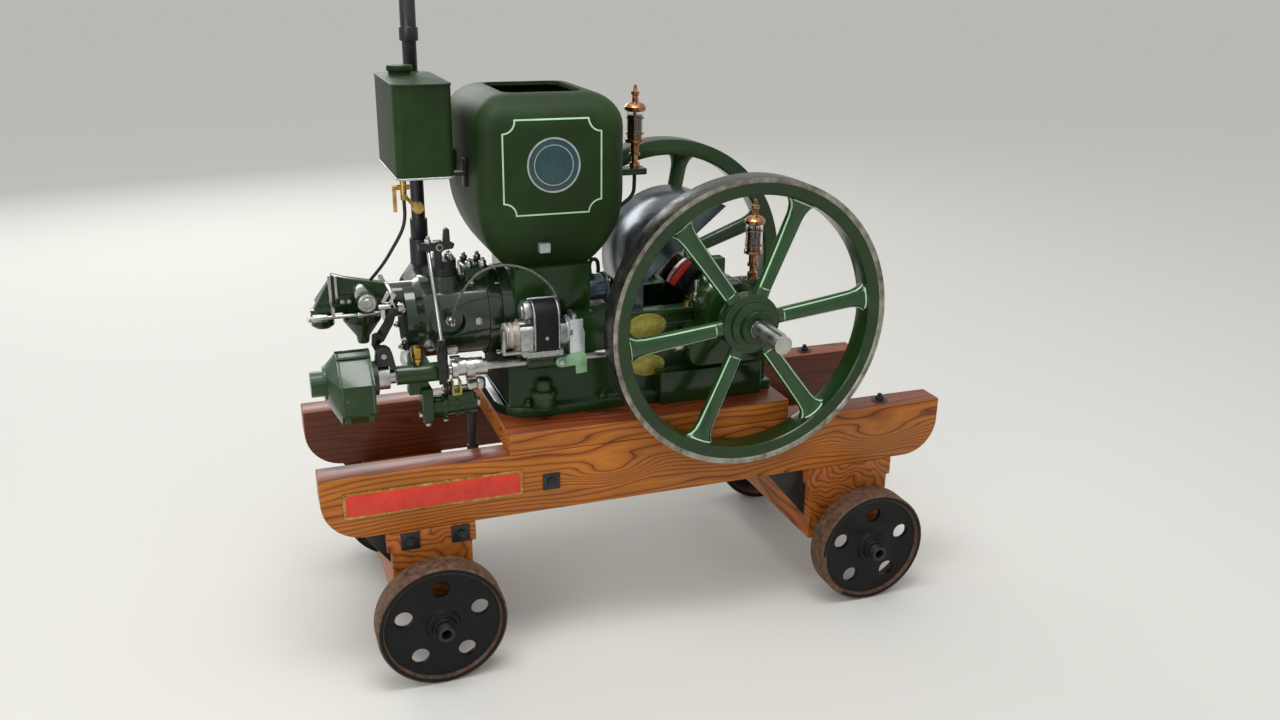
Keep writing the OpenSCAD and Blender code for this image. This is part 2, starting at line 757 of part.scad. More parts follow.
module fuel_line() {
    taps();
    route = [[tap_x, tap_y, tank_z - 45], [tap_x, tap_y, tank_z - 84], [-576, -118, 1040],
             [-596, -106, 1000], [-619, -88, 958], fuel_end];
    color("black") swept_tube(spline(route, 4), 4, 8);
}

// Intake side

hood_near = -62;
hood_mid = -36;
hood_far = 44;
cup_x = -757;
cup_y = -34;
module intake_hood() {
    color("darkgreen") difference() {
        union() {
            slab_xz(hood_near, hood_mid) polygon([[port_left, port_low - 4], [port_left, 904], [-662, 916],
                [-700, 924], [-731, 934], [-777, 856], [-770, 846], [-712, port_low - 4]]);
            slab_xz(hood_mid - eps, hood_far) polygon([[port_left, port_low - 4], [port_left, 880], [-662, 888],
                [-731, 900], [-768, 850], [-712, port_low - 4]]);
            bar_y(-128, hood_near + eps, 44, -664, 881);
            span_box([port_left - 10, -48, port_low - 48], [port_left, 48, 898]);
            bar_z(812, 850, 53, cup_x, cup_y);
            translate([cup_x, cup_y, 806]) cylinder(h = 7, d1 = 38, d2 = 53);
        }
        bar_z(820, 842, 44, cup_x, cup_y);
    }
}
module mixer_bowl() {
    color("darkgreen") translate([-668, -32, 0]) rotate_extrude()
        polygon([[0, 758], [13, 758], [16, 776], [44, 816], [44, port_low - 4 - seat_gap], [0, port_low - 4 - seat_gap]]);
}
module throttle_rod() {
    color("silver") {
        bar_x(-795, -684, 9, -112, 851);
        bar_x(-784, -752, 17, -112, 851);
        bar_x(-684 - eps, -634, 13, -112, 851);
        span_box([-742, -116, 851], [-735, hood_near - seat_gap, 872]);
        span_box([-742, hood_near - 8, 853], [-735, hood_near - seat_gap, 936]);
        span_box([-728, hood_near - 8, 880], [-722, hood_near - seat_gap, 934]);
    }
}

// Governor and side shaft

// Cross-section of the governor housing about the shaft, ridge at the top
module governor_section() {
    w = governor_half_w;
    polygon([[-w, -55], [-w, 13], [-10, 69], [10, 69], [w, 13], [w, -55], [w - 22, -82], [22 - w, -82]]);
}
module governor_slab(x0, x1) {
    translate([x0, -side_y, side_z]) rotate([90, 0, 90]) linear_extrude(x1 - x0) children();
}
module governor_housing() {
    body_left = -749;
    body_right = -674;
    cap_x = -773;
    cy = -side_y;
    color("darkgreen") difference() {
        union() {
            governor_slab(body_left, body_right) governor_section();
            hull() {
                governor_slab(body_left, body_left + eps) offset(delta = -3) governor_section();
                bar_x(cap_x, cap_x + 3, 86, cy, side_z - 4, 32);
            }
            bar_x(cap_x - 5, cap_x + eps, 78, cy, side_z);
            bar_x(governor_left, cap_x, 58, cy, side_z);
            bar_x(body_right - eps, governor_right, 78, cy, side_z);
            bar_x(governor_right - eps, governor_right + 26, 56, cy, side_z);
            bar_x(governor_right + 25, sleeve_left - 2, 34, cy, side_z);
            for (x = [body_left + 6, body_right - 18]) span_box([x, cy - 84, side_z - 70], [x + 12, cy - 60, side_z - 55]);
        }
        bar_x(side_left - 6, sleeve_left + 10, side_d + 2 * run_gap, cy, side_z);
    }
}

module front_shaft_bearing() {
    color("darkgreen") difference() {
        union() {
            bar_x(sleeve_left, sleeve_right, sleeve_d, -side_y, side_z);
            span_box([-590, -side_y, side_z + 8], [-540, -60, side_z + 22]);
            span_box([-590, -side_y + 14, side_z - 10], [-540, -60, side_z + 10]);
        }
        bar_x(sleeve_left - 10, sleeve_right + 10, side_d + 2 * run_gap, -side_y, side_z);
        bar_x(head_left - 80, head_right, 2 * head_r + 2 * seat_gap, 0, crank_z, 96);
    }
}

module oil_pump() {
    color("darkgreen") {
        span_box([-552, -178, 582], [-480, -112, 668]);
        span_box([-588, -164, 660], [-542, -126, side_z - 10 - seat_gap]);
        bar_z(440, 600, 22, -436, -120);
        span_box([-481, -140, 590], [-428, -108, 620]);
    }
}

module side_shaft() {
    color("silver") {
        bar_x(side_left, side_right, side_d, -side_y, side_z);
        bar_x(cam_left, cam_left + 14, cam_d - 8, -side_y, side_z);
        translate([0, 5, 3]) bar_x(cam_left + 13, cam_left + 34, cam_d - 10, -side_y, side_z);
        bar_x(cam_left + 33, cam_left + 52, cam_d - 4, -side_y, side_z);
        translate([0, -4, 4]) bar_x(cam_left + 51, cam_right - 10, cam_d - 10, -side_y, side_z);
        bar_x(cam_right - 11, cam_right, 38, -side_y, side_z);
        bar_x(gear_left - 28, gear_left - 6, 34, -side_y, side_z);
    }
}

magneto_z = side_z + 24;
module magneto_table() {
    color("darkgreen") difference() {
        union() {
            bar_x(table_left, table_right, 40, -side_y, side_z);
            span_box([table_left - 10, -side_y - 40, magneto_z - 8], [table_right + 10, -block_half_w, magneto_z]);
            span_box([table_left + 16, -side_y, side_z - 12], [table_right - 16, -block_half_w, magneto_z - 4]);
        }
        bar_x(table_left - 10, table_right + 10, side_d + 2 * run_gap, -side_y, side_z);
    }
}

module magneto() {
    top = magneto_z + 128;
    color("dimgray") {
        span_box([-330, -side_y - 38, magneto_z], [-236, -side_y + 38, magneto_z + 14]);
        bar_x(-334, -222, 74, -side_y, magneto_z + 45);
        bar_x(-366, -333, 60, -side_y, magneto_z + 45);
        translate([-303, -side_y, 0]) rotate([90, 0, 90]) linear_extrude(60) difference() {
            union() {
                translate([-42, magneto_z + 10]) square([84, 76]);
                translate([0, magneto_z + 86]) circle(42);
            }
            translate([0, magneto_z + 74]) circle(27);
            translate([-27, magneto_z + 40]) square([54, 34]);
        }
        bar_x(-312, -302, 44, -side_y, magneto_z + 84);
        bar_x(-223, -206, 50, -side_y, magneto_z + 45);
        span_box([-206, -side_y - 22, magneto_z - 4], [-196, -side_y + 22, magneto_z + 88]);
        span_box([-196 - eps, -side_y - 18, magneto_z], [-140, -block_half_w - 4, magneto_z + 76]);
    }
}

module gear_case() {
    color("darkgreen") difference() {
        union() {
            slab_xz(gear_front, -bearing_out - seat_gap) union() {
                translate([crank_x, crank_z]) circle(76);
                translate([(gear_left + gear_right) / 2, side_z]) round_rect(gear_right - gear_left, 92, 30);
                translate([crank_x - 76, side_z]) square([152, crank_z - side_z]);
            }
        }
        bar_y(gear_front - 10, -case_half_w + 10, shaft_d + 2, crank_x, crank_z);
        bar_x(gear_left - 10, side_right + 6, side_d + 2 * run_gap, -side_y, side_z);
    }
}

module ignition_lead() {
    plug();
    route = [[plug_x, plug_floor_y - 48, plug_z], [plug_x, plug_floor_y - 62, plug_z + 36],
             [-452, -146, 892], [-415, -158, 938], [-360, -168, 956], [-300, -176, 942],
             [-256, -182, 906], [-236, -184, 868], [-231, -185, magneto_z + 83]];
    color("dimgray") swept_tube(spline(route, 4), 3, 8);
}

// Crank, guard and flywheels

module governor_linkage() {
    throttle_rod();
    color("black") {
        slab_xz(-160, -150) polygon([[-612, 872], [-594, 866], [-604, 836], [-640, 782],
            [-668, 778], [-672, 794], [-634, 846]]);
        bar_y(-152, hood_near - seat_gap, 12, -604, 862);
        bar_y(-170, -112, 12, -660, 786);
    }
}

// Segment of a circle up and left of the slanting edge of the guard
module guard_segment(r) {
    intersection() {
        translate([guard_x, guard_z]) circle(r, $fn = 180);
        polygon([[-22, 840], [-260, 840], [-260, 1200], [225, 1200], [225, 1046]]);
    }
}
module crank_guard() {
    color("darkgreen") union() {
        difference() {
            slab_xz(-guard_half_w, guard_half_w) guard_segment(guard_r);
            slab_xz(-guard_half_w + guard_t, guard_half_w - guard_t)
                translate([guard_x, guard_z]) circle(guard_r - guard_t, $fn = 180);
        }
        for (s = [-1, 1]) translate([0, s * (guard_half_w - guard_t / 2), 0]) slab_xz(-guard_t / 2, guard_t / 2)
            polygon([[-22, 841], [-22, case_top], [8, case_top], [8, 866]]);
    }
}

module crankshaft() {
    color("silver") {
        for (s = [-1, 1]) {
            bar_y(s > 0 ? shaft_in / 2 : stub_len - shaft_len / 2, s > 0 ? shaft_len / 2 : -shaft_in / 2,
                  shaft_d, crank_x, crank_z);
            slab_xz(s * web_y - web_t / 2, s * web_y + web_t / 2) translate([crank_x, crank_z])
                rotate(crank_angle) intersection() {
                    circle(r = web_r, $fn = 120);
                    union() {
                        circle(d = web_w);
                        translate([0, -web_w / 2]) square([web_r, web_w]);
                    }
                }
        }
        bar_y(-shaft_len / 2, stub_len - shaft_len / 2 + eps, stub_d, crank_x, crank_z);
        bar_y(-crankpin_len / 2 - eps, crankpin_len / 2 + eps, crankpin_d,
              crank_x + crank_throw * cos(crank_angle), crank_z + crank_throw * sin(crank_angle));
    }
}

module flywheel(side, turn) {
    in_r = fly_r - fly_rim_t;
    half = fly_rim_w / 2;
    hub_r = fly_hub_d / 2;
    color("darkgreen") translate([crank_x, side * fly_y, crank_z]) rotate([-side * 90, 0, 0]) difference() {
        union() {
            rotate_extrude($fn = 120) {
                polygon([[in_r, -half + 4], [in_r + 4, -half], [fly_r, -half], [fly_r, half],
                         [fly_r - 10, half], [fly_r - 13, half - 3], [in_r + 3, half - 3], [in_r, half - 7]]);
            }
            rotate_extrude($fn = 96)
                polygon([[0, -half - fly_hub_in], [fly_boss_d / 2, -half - fly_hub_in],
                         [fly_boss_d / 2, -half + 12], [hub_r, -half + 16], [hub_r, half - 16],
                         [fly_boss_d / 2 + 4, half - 10], [fly_boss_d / 2 + 4, half + 4],
                         [fly_boss_d / 2 - 10, half + 10], [fly_boss_d / 2 - 12, half + fly_hub_out],
                         [0, half + fly_hub_out]]);
            for (k = [0 : spokes - 1]) rotate([0, 0, -side * turn + 360 * k / spokes])
                rotate([90, 0, 90]) translate([0, 0, hub_r - 12]) spoke(in_r - hub_r + 16);
        }
        cylinder(h = 4 * fly_rim_w + 60, d = shaft_d, center = true);
    }
}
module spoke(len) {
    hull() {
        linear_extrude(1) scale([spoke_w_hub / spoke_t, 1]) circle(d = spoke_t, $fn = 24);
        translate([0, 0, len - 1]) linear_extrude(1) scale([spoke_w_rim / spoke_t, 1]) circle(d = spoke_t, $fn = 24);
    }
}
module near_flywheel() { flywheel(-1, near_turn); }
module far_flywheel() { flywheel(1, far_turn); }

module belt_pulley() {
    y0 = fly_span / 2 + fly_hub_out + 4;
    r = pulley_d / 2;
    color("black") translate([crank_x, y0, crank_z]) rotate([-90, 0, 0]) rotate_extrude($fn = 96) union() {
        polygon([[r - 10, 0], [r - 2, 0], [r, pulley_w / 2], [r - 2, pulley_w], [r - 10, pulley_w]]);
        translate([shaft_d / 2, pulley_w / 2 - 6]) square([r - 5 - shaft_d / 2, 12]);
        translate([shaft_d / 2, 0]) square([22, pulley_w]);
    }
}

// Oilers and breather

module oiler(x, y, z) {
    translate([x, y, z]) color("gold") rotate_extrude()
        polygon([[0, 0], [13, 0], [13, 14], [8, 16], [8, 30], [14, 31], [14, 37], [11, 38], [11, 58], [15, 60],
                 [24, 64], [24, 70], [22, 71], [22, 140], [27, 142], [27, 152], [20, 157], [8, 162], [7, 176],
                 [10, 179], [10, 186], [5, 189], [4, 200], [0, 204]]);
}
oiler_x = 304;
oiler_z = case_top + 56;
oiler_y = -bearing_y;
module crank_oiler() {
    oiler(oiler_x, oiler_y, oiler_z);
}
cyl_oiler_x = 20;
arm_z = 1134;
module cylinder_oiler() {
    oiler(cyl_oiler_x, 0, arm_z - 2);
    color("darkgreen") difference() {
        union() {
            span_box([hopper_right, -22, arm_z - 16], [cyl_oiler_x + 26, 22, arm_z]);
        }
        span_box([hopper_right + 30, -40, arm_z - 30], [cyl_oiler_x + 20, -16, arm_z - 6]);
        span_box([hopper_right + 30, 16, arm_z - 30], [cyl_oiler_x + 20, 40, arm_z - 6]);
    }
    color("black") swept_tube(spline([[cyl_oiler_x, 0, arm_z - 9], [cyl_oiler_x, 0, arm_z - 40],
        [cyl_oiler_x - 4, 0, arm_z - 66], [-10, 0, arm_z - 90], [-42, 0, arm_z - 110],
        [-66, 0, arm_z - 132], [-84, 0, arm_z - 160], [-93, 0, block_top + 18],
        [-94, 0, block_top + 6], [-94, 0, block_top + seat_gap]], 4), 5, 8);
}

near_beam();
far_beam();
engine_bearers();
front_bolster();
rear_bolster();
axles();
axle_irons();
near_front_wheel();
far_front_wheel();
near_rear_wheel();
far_rear_wheel();
engine_bed();
cylinder_block();
water_hopper();
cylinder_head();
valve_chest();
rocker_arm();
valve_pushrod();
exhaust_elbow();
exhaust_pipe();
fuel_tank();
tank_top();
tank_floor();
tank_bracket();
fuel_line();
intake_hood();
mixer_bowl();
governor_housing();
governor_linkage();
front_shaft_bearing();
side_shaft();
magneto_table();
magneto();
gear_case();
ignition_lead();
crank_guard();
crankshaft();
near_flywheel();
far_flywheel();
belt_pulley();
main_bearings();
crank_oiler();
cylinder_oiler();
oil_pump();
oil_box();
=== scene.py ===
"""Looks of a horizontal hopper-cooled stationary engine on a four-wheeled timber trolley.

X runs along the trolley towards the crankshaft, Y away from the side shaft, Z up. Sizes in the
calls below are millimetres, and one scale turns them into metres.
"""

import math

import bpy
from mathutils import Matrix, Vector


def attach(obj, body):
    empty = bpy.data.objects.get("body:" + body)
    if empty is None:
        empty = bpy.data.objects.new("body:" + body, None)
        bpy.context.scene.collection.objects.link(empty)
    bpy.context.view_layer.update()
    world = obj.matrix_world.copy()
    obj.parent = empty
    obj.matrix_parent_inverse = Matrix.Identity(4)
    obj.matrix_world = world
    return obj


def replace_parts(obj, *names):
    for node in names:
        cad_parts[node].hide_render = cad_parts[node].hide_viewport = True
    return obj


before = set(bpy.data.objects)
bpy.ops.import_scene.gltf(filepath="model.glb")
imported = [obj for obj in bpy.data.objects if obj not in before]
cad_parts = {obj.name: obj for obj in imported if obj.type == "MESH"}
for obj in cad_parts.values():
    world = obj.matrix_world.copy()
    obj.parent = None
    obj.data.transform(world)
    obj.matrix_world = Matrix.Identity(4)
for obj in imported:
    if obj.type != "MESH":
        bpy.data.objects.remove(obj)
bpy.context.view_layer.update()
MM = 0.001
MERGE = 0.00002                 # metres within which mesh corners count as one
CRANK = (210.0, 801.0)          # X and Z of the crankshaft; the cylinder lies at the same height
FLYWHEEL_Y = 292.5              # middle of each flywheel, on either side
AXLES = (("front", -567.0), ("rear", 578.0))    # X of the trolley's axles
AXLE_Z = 152.5                  # height of the axles
BEAM_Y = 250                    # outer faces of the two beams
root = "frame"                  # the body of everything that doesn't turn


# Finishes

def rgb(code):
    """Linear colour of an sRGB hex value."""
    parts = [int(code[i:i + 2], 16) / 255 for i in (1, 3, 5)]
    return tuple(((c + 0.055) / 1.055) ** 2.4 if c > 0.04045 else c / 12.92 for c in parts) + (1.0,)


def put(tree, kind, inputs=None, stops=None, **settings):
    """Adds one node with its settings; a socket given as an input becomes a link."""
    node = tree.nodes.new("ShaderNode" + kind)
    for key, value in settings.items():
        setattr(node, key, value)
    for key, value in (inputs or {}).items():
        if isinstance(value, bpy.types.NodeSocket):
            tree.links.new(value, node.inputs[key])
        else:
            node.inputs[key].default_value = value
    if stops:
        ramp = node.color_ramp.elements
        while len(ramp) < len(stops):
            ramp.new(0.5)
        for mark, (at, code) in zip(ramp, stops):
            mark.position = at
            mark.color = rgb(code)
    return node


def calc(tree, operation, *values):
    """Result of one sum on numbers or sockets."""
    return put(tree, "Math", dict(enumerate(values)), operation=operation).outputs["Value"]


def span(tree, value, source, target, **settings):
    """A value moved from one range to another."""
    return put(tree, "MapRange", {"Value": value, "From Min": source[0], "From Max": source[1],
                                  "To Min": target[0], "To Max": target[1]}, **settings).outputs["Result"]


def finish(name, **values):
    """A new material, its node tree, its shader and its object coordinates."""
    mat = bpy.data.materials.new(name)
    mat.use_nodes = True
    tree = mat.node_tree
    shader = tree.nodes["Principled BSDF"]
    for key, value in values.items():
        shader.inputs[key.replace("_", " ")].default_value = value
    return mat, tree, shader, put(tree, "TexCoord").outputs["Object"]


def mottled(name, patch_mm, stops, rough, relief_mm, relief, **values):
    """Finish whose colour drifts in patches of a given size, over a fine relief."""
    mat, tree, shader, at = finish(name, **values)
    drift = put(tree, "TexNoise", {"Vector": at, "Scale": 1000 / patch_mm, "Detail": 5.0,
                                   "Roughness": 0.6}).outputs["Fac"]
    colour = put(tree, "ValToRGB", {"Fac": drift}, stops=stops)
    tree.links.new(colour.outputs["Color"], shader.inputs["Base Color"])
    tree.links.new(span(tree, drift, (0.3, 0.7), rough), shader.inputs["Roughness"])
    fine = put(tree, "TexNoise", {"Vector": at, "Scale": 1000 / relief_mm, "Detail": 3.0})
    bump = put(tree, "Bump", {"Height": fine.outputs["Fac"], "Strength": relief, "Distance": 0.001})
    tree.links.new(bump.outputs["Normal"], shader.inputs["Normal"])
    return mat


# Brushed coach enamel over filled cast iron: deep, wet gloss with faint brush ripple
green_enamel = mottled("bronze_green_coach_enamel", 160,
                       [(0.3, "#14270d"), (0.55, "#1a3511"), (0.75, "#234118")], (0.16, 0.3), 9, 0.05,
                       Coat_Weight=0.16, Coat_Roughness=0.06, Specular_IOR_Level=0.36)
# The same enamel, long weathered, on hopper and tank: dark and even, with a soft sheen
hopper_enamel = mottled("weathered_hopper_enamel", 190,
                        [(0.3, "#17270f"), (0.55, "#1e3314"), (0.75, "#283f1b")], (0.46, 0.56), 9, 0.05,
                        Specular_IOR_Level=0.2)
# The same enamel on the head, rubbed thin over the cast skin; its greyer, lighter patches are a painted sky
# reflection
head_enamel = mottled("head_enamel_painted_sheen", 45, [(0.3, "#132010"), (0.58, "#1c2d1a"), (0.8, "#31432f")],
                      (0.14, 0.26), 9, 0.06, Coat_Weight=0.6, Coat_Roughness=0.06)
# Dark matt enamel on faces that look forward, along -X: painted shade on that side of the castings
forward_shade_enamel = mottled("matt_enamel_painted_shade", 60, [(0.3, "#10170d"), (0.6, "#182115"), (0.8, "#232c20")],
                       (0.75, 0.9), 4, 0.1, Specular_IOR_Level=0.08)
# The same enamel, brighter, on the near spokes: painted light, against the darker enamel of the far spokes
spoke_enamel = mottled("spoke_enamel_painted_light", 120,
                       [(0.3, "#18371a"), (0.6, "#1f4720"), (0.8, "#2a5528")], (0.16, 0.28), 9, 0.05,
                       Coat_Weight=0.2, Coat_Roughness=0.07, Specular_IOR_Level=0.45)
# The same enamel where it is handled, and on faces that look up: a little greyer and duller, the greyer tone
# partly a painted sky highlight
worn_and_sheen_enamel = mottled("worn_green_enamel_and_painted_sheen", 60, [(0.3, "#1f3320"), (0.6, "#304831"), (0.8, "#4a5d49")],
                      (0.2, 0.42), 5, 0.12, Coat_Weight=0.45, Coat_Roughness=0.12)
# Pale green lining enamel laid on with a lining brush: even and slightly raised
lining_enamel = mottled("pale_green_lining_enamel", 40, [(0.3, "#9cc799"), (0.7, "#bfe2b9")],
                        (0.25, 0.4), 3, 0.05)
# Turned and wiped mild steel: bright, with a thin oily bloom
turned_steel = mottled("turned_bright_steel", 35, [(0.3, "#9d9b96"), (0.6, "#c4c3be"), (0.8, "#d6d5d0")],
                       (0.2, 0.38), 1.5, 0.12, Metallic=1.0)
# Turned tread of the flywheels: dark graphite grey, burnished with use
tread_iron = mottled("burnished_dark_tread_iron", 30,
                     [(0.3, "#2b2b28"), (0.55, "#45443f"), (0.8, "#6c6a63")], (0.22, 0.4), 1.5, 0.12,
                     Metallic=0.7)
# Machined cast-iron rim kept bare: grey with brown oil stain
rim_iron = mottled("machined_rim_iron", 26, [(0.28, "#5f5547"), (0.48, "#8d887c"), (0.7, "#b3b0a6")],
                   (0.28, 0.5), 1.5, 0.15, Metallic=0.9)
# Polished yellow brass with brown in the corners
yellow_brass = mottled("polished_yellow_brass", 18,
                       [(0.25, "#7d5a26"), (0.5, "#b18c46"), (0.75, "#d6ba78")], (0.16, 0.36), 1.5, 0.06,
                       Metallic=1.0)
# Etched brass plate, lacquered: yellow-green and nearly flat
etched_brass = mottled("etched_lacquered_brass", 12,
                       [(0.3, "#8f8832"), (0.55, "#aba443"), (0.8, "#c9c26f")], (0.3, 0.42), 3, 0.06,
                       Metallic=0.35, Coat_Weight=0.3)
# Gunmetal of the oilers, redder than brass, with bright rubbed rings
gunmetal = mottled("rubbed_gunmetal", 12, [(0.25, "#6d3f28"), (0.5, "#a5744e"), (0.78, "#dcbc98")],
                   (0.16, 0.34), 1.5, 0.08, Metallic=1.0)
# Oily dark iron of the crank webs
oily_iron = mottled("oily_forged_iron", 22, [(0.3, "#1a1b19"), (0.6, "#2e2f2b"), (0.82, "#5c5b54")],
                    (0.2, 0.4), 3, 0.2, Metallic=0.6)
# Stove-blacked iron: satin black with a trace of rust
black_iron = mottled("stove_black_iron", 40, [(0.3, "#101113"), (0.62, "#1d1e20"), (0.82, "#3a2c24")],
                     (0.3, 0.6), 2.0, 0.2)
# Rolled iron tread that runs on the ground: brown scale worn thin
rusty_iron = mottled("brown_scaled_iron", 14, [(0.3, "#33241b"), (0.5, "#5d4231"), (0.75, "#7b5a45")],
                     (0.6, 0.85), 2.0, 0.35, Metallic=0.2)
# Black enamel of the wheel discs, the belt pulley and the magnets
black_enamel = mottled("black_wheel_enamel", 50, [(0.3, "#0a0b0b"), (0.7, "#16181a")], (0.4, 0.6), 4, 0.1,
                       Specular_IOR_Level=0.2)
# Blast-cleaned cast aluminium of the magneto body
cast_aluminium = mottled("cast_aluminium", 14, [(0.3, "#8f918f"), (0.7, "#bcbdba")], (0.32, 0.5), 1.5, 0.25,
                         Metallic=1.0)
# Zinc-plated drive plate of the magneto, nearly white
bright_zinc = mottled("bright_zinc_plate", 60, [(0.3, "#bcc3c6"), (0.7, "#dde2e4")], (0.22, 0.36), 3, 0.03,
                      Metallic=0.55)
# Blued and oiled sheet of the crank guard, with broad soft reflections
guard_sheet = mottled("blued_guard_sheet", 90, [(0.3, "#363d42"), (0.55, "#555e64"), (0.8, "#7b858b")],
                      (0.16, 0.28), 6, 0.05, Metallic=0.75)
# Blued sheet of the breather
breather_blue = mottled("blued_breather_sheet", 50, [(0.3, "#2d3a40"), (0.7, "#4c5d66")], (0.18, 0.3), 4,
                        0.05, Metallic=0.6, Coat_Weight=0.3)
# Moulded tan insulating resin of the distributor cap
tan_resin = mottled("moulded_tan_resin", 20, [(0.3, "#8b8070"), (0.7, "#b5aa99")], (0.35, 0.5), 2, 0.05)
# Dark teal enamel of the bare roundel
teal_enamel = mottled("dark_teal_enamel", 50, [(0.3, "#12343a"), (0.7, "#1b464c")], (0.2, 0.35), 6, 0.04,
                      Coat_Weight=0.3)
# Pale green enamel of the small advance lever
pale_lever_green = mottled("pale_green_lever_enamel", 20, [(0.3, "#5f8a63"), (0.7, "#8fb48f")],
                           (0.25, 0.4), 4, 0.1)
# Signal red enamel
red_enamel = mottled("signal_red_enamel", 40, [(0.3, "#bd200a"), (0.7, "#d83416")], (0.25, 0.4), 6, 0.04,
                     Coat_Weight=0.2)
# Silver paint on the lower lip of the tank, the roundel's rings and the hopper's plug
silver_paint = mottled("silver_paint", 25, [(0.3, "#9fa5a2"), (0.7, "#c3c8c4")], (0.3, 0.45), 2, 0.08,
                       Metallic=0.6)
# Lacquered cotton braid of the ignition lead
lacquered_braid = mottled("lacquered_cotton_braid", 6, [(0.35, "#3b3c38"), (0.65, "#70726a")], (0.5, 0.7),
                          1.2, 0.4)
# Used engine oil, dark brown, held in the sight glasses
dark_oil = mottled("used_engine_oil", 30, [(0.3, "#2e1409"), (0.7, "#4a230f")], (0.08, 0.12), 10, 0.0,
                   Coat_Weight=0.5)
# Blown sight glass, nearly clear
sight_glass, _tree, _shader, _at = finish("clear_sight_glass", Transmission_Weight=1.0, IOR=1.5,
                                          Roughness=0.02)
_ripple = put(_tree, "TexNoise", {"Vector": _at, "Scale": 90.0, "Detail": 2.0})
_tint = put(_tree, "ValToRGB", {"Fac": _ripple.outputs["Fac"]}, stops=[(0.3, "#f0f4f0"), (0.7, "#ffffff")])
_tree.links.new(_tint.outputs["Color"], _shader.inputs["Base Color"])


def timber(name, ring_mm, stops, knots=(), rough=(0.36, 0.55), athwart=False):
    """Varnished softwood sawn along X, or Y if athwart, with late wood, stretched pores and knots."""
    mat, tree, shader, at = finish(name, Coat_Weight=0.1, Coat_Roughness=0.12, Specular_IOR_Level=0.3)
    if athwart:
        turn = put(tree, "SeparateXYZ", {"Vector": at}).outputs
        at = put(tree, "CombineXYZ", {"X": turn["Y"], "Y": turn["X"], "Z": turn["Z"]}).outputs["Vector"]
    axes = put(tree, "SeparateXYZ", {"Vector": at}).outputs
    slow = put(tree, "Mapping", {"Vector": at, "Scale": (1.6, 9.0, 9.0)})
    sway = put(tree, "TexNoise", {"Vector": slow.outputs["Vector"], "Scale": 1.0, "Detail": 2.0})
    phase = calc(tree, "MULTIPLY", sway.outputs["Fac"], 9.0)
    for x, z, size in knots:
        near = put(tree, "CombineXYZ", {"X": axes["X"], "Y": 0.0, "Z": axes["Z"]})
        flat = put(tree, "VectorMath", {0: near.outputs["Vector"], 1: (-x * MM, 0.0, -z * MM)},
                   operation="ADD")
        oval_place = put(tree, "VectorMath", {0: flat.outputs["Vector"], 1: (0.34, 1.0, 1.0)},
                         operation="MULTIPLY")
        far = put(tree, "VectorMath", {0: oval_place.outputs["Vector"]}, operation="LENGTH")
        fall = span(tree, far.outputs["Value"], (0.0, size * MM), (3.4, 0.0),
                    interpolation_type="SMOOTHSTEP")
        phase = calc(tree, "ADD", phase, fall)
    depth = calc(tree, "MULTIPLY_ADD", axes["Y"], 0.6, axes["Z"])
    cycle = calc(tree, "FRACT", calc(tree, "MULTIPLY_ADD", depth, 1000 / ring_mm, phase))
    bands = put(tree, "ValToRGB", {"Fac": cycle}, stops=stops)
    long = put(tree, "Mapping", {"Vector": at, "Scale": (6.0, 420.0, 420.0)})
    pores = put(tree, "TexNoise", {"Vector": long.outputs["Vector"], "Scale": 1.0,
                                   "Detail": 3.0}).outputs["Fac"]
    tone = put(tree, "TexNoise", {"Vector": at, "Scale": 4.0, "Detail": 3.0}).outputs["Fac"]
    shade = calc(tree, "MULTIPLY", span(tree, pores, (0.3, 0.7), (0.78, 1.08)),
                 span(tree, tone, (0.3, 0.7), (0.74, 1.1)))
    grey = put(tree, "CombineColor", {"Red": shade, "Green": shade, "Blue": shade})
    mixed = put(tree, "Mix", {6: bands.outputs["Color"], 7: grey.outputs["Color"], 0: 1.0},
                data_type="RGBA", blend_type="MULTIPLY")
    tree.links.new(mixed.outputs[2], shader.inputs["Base Color"])
    tree.links.new(span(tree, pores, (0.0, 1.0), rough), shader.inputs["Roughness"])
    bump = put(tree, "Bump", {"Height": pores, "Strength": 0.25, "Distance": 0.0006})
    tree.links.new(bump.outputs["Normal"], shader.inputs["Normal"])
    return mat


# Sawn fir under yellow varnish: broad honey early wood and thin brown late wood
honey_fir = timber("varnished_honey_fir", 15, [(0.0, "#a95f18"), (0.45, "#bc7023"), (0.8, "#a25918"),
                                               (0.93, "#672f08"), (1.0, "#904d12")],
                   knots=((262, 452, 85), (640, 430, 60), (-120, 440, 50)))
# The same timber where rain and sun have turned the top faces red brown
red_fir = timber("weathered_red_fir", 18, [(0.0, "#7a3716"), (0.5, "#8c451f"), (0.82, "#713013"),
                                           (0.95, "#451c0a"), (1.0, "#6c2d12")], rough=(0.28, 0.5))
# Fir darkened as painted shade, for the side that the engine shades
dark_fir = timber("fir_painted_shade", 20, [(0.0, "#5a2811"), (0.5, "#652d13"), (0.82, "#552510"),
                                           (0.95, "#431b0a"), (1.0, "#51220f")])
# Varnished fir of the bolsters and their blocks, its grain across the trolley
brown_fir = timber("varnished_brown_fir", 24, [(0.0, "#a0561c"), (0.5, "#b96a26"), (0.8, "#9a5019"),
                                               (0.94, "#5f2d0d"), (1.0, "#8b4716")], athwart=True)


# Modelling

def pick(obj):
    bpy.ops.object.select_all(action="DESELECT")
    obj.select_set(True)
    bpy.context.view_layer.objects.active = obj


def edit(obj, *steps):
    """Runs steps in edit mode on the whole mesh."""
    pick(obj)
    bpy.ops.object.mode_set(mode="EDIT")
    bpy.ops.mesh.select_all(action="SELECT")
    for step in steps:
        step()
    bpy.ops.object.mode_set(mode="OBJECT")


def modify(obj, kind, **settings):
    pick(obj)
    mod = obj.modifiers.new(kind.lower(), kind)
    for key, value in settings.items():
        setattr(mod, key, value)
    bpy.ops.object.modifier_apply(modifier=mod.name)


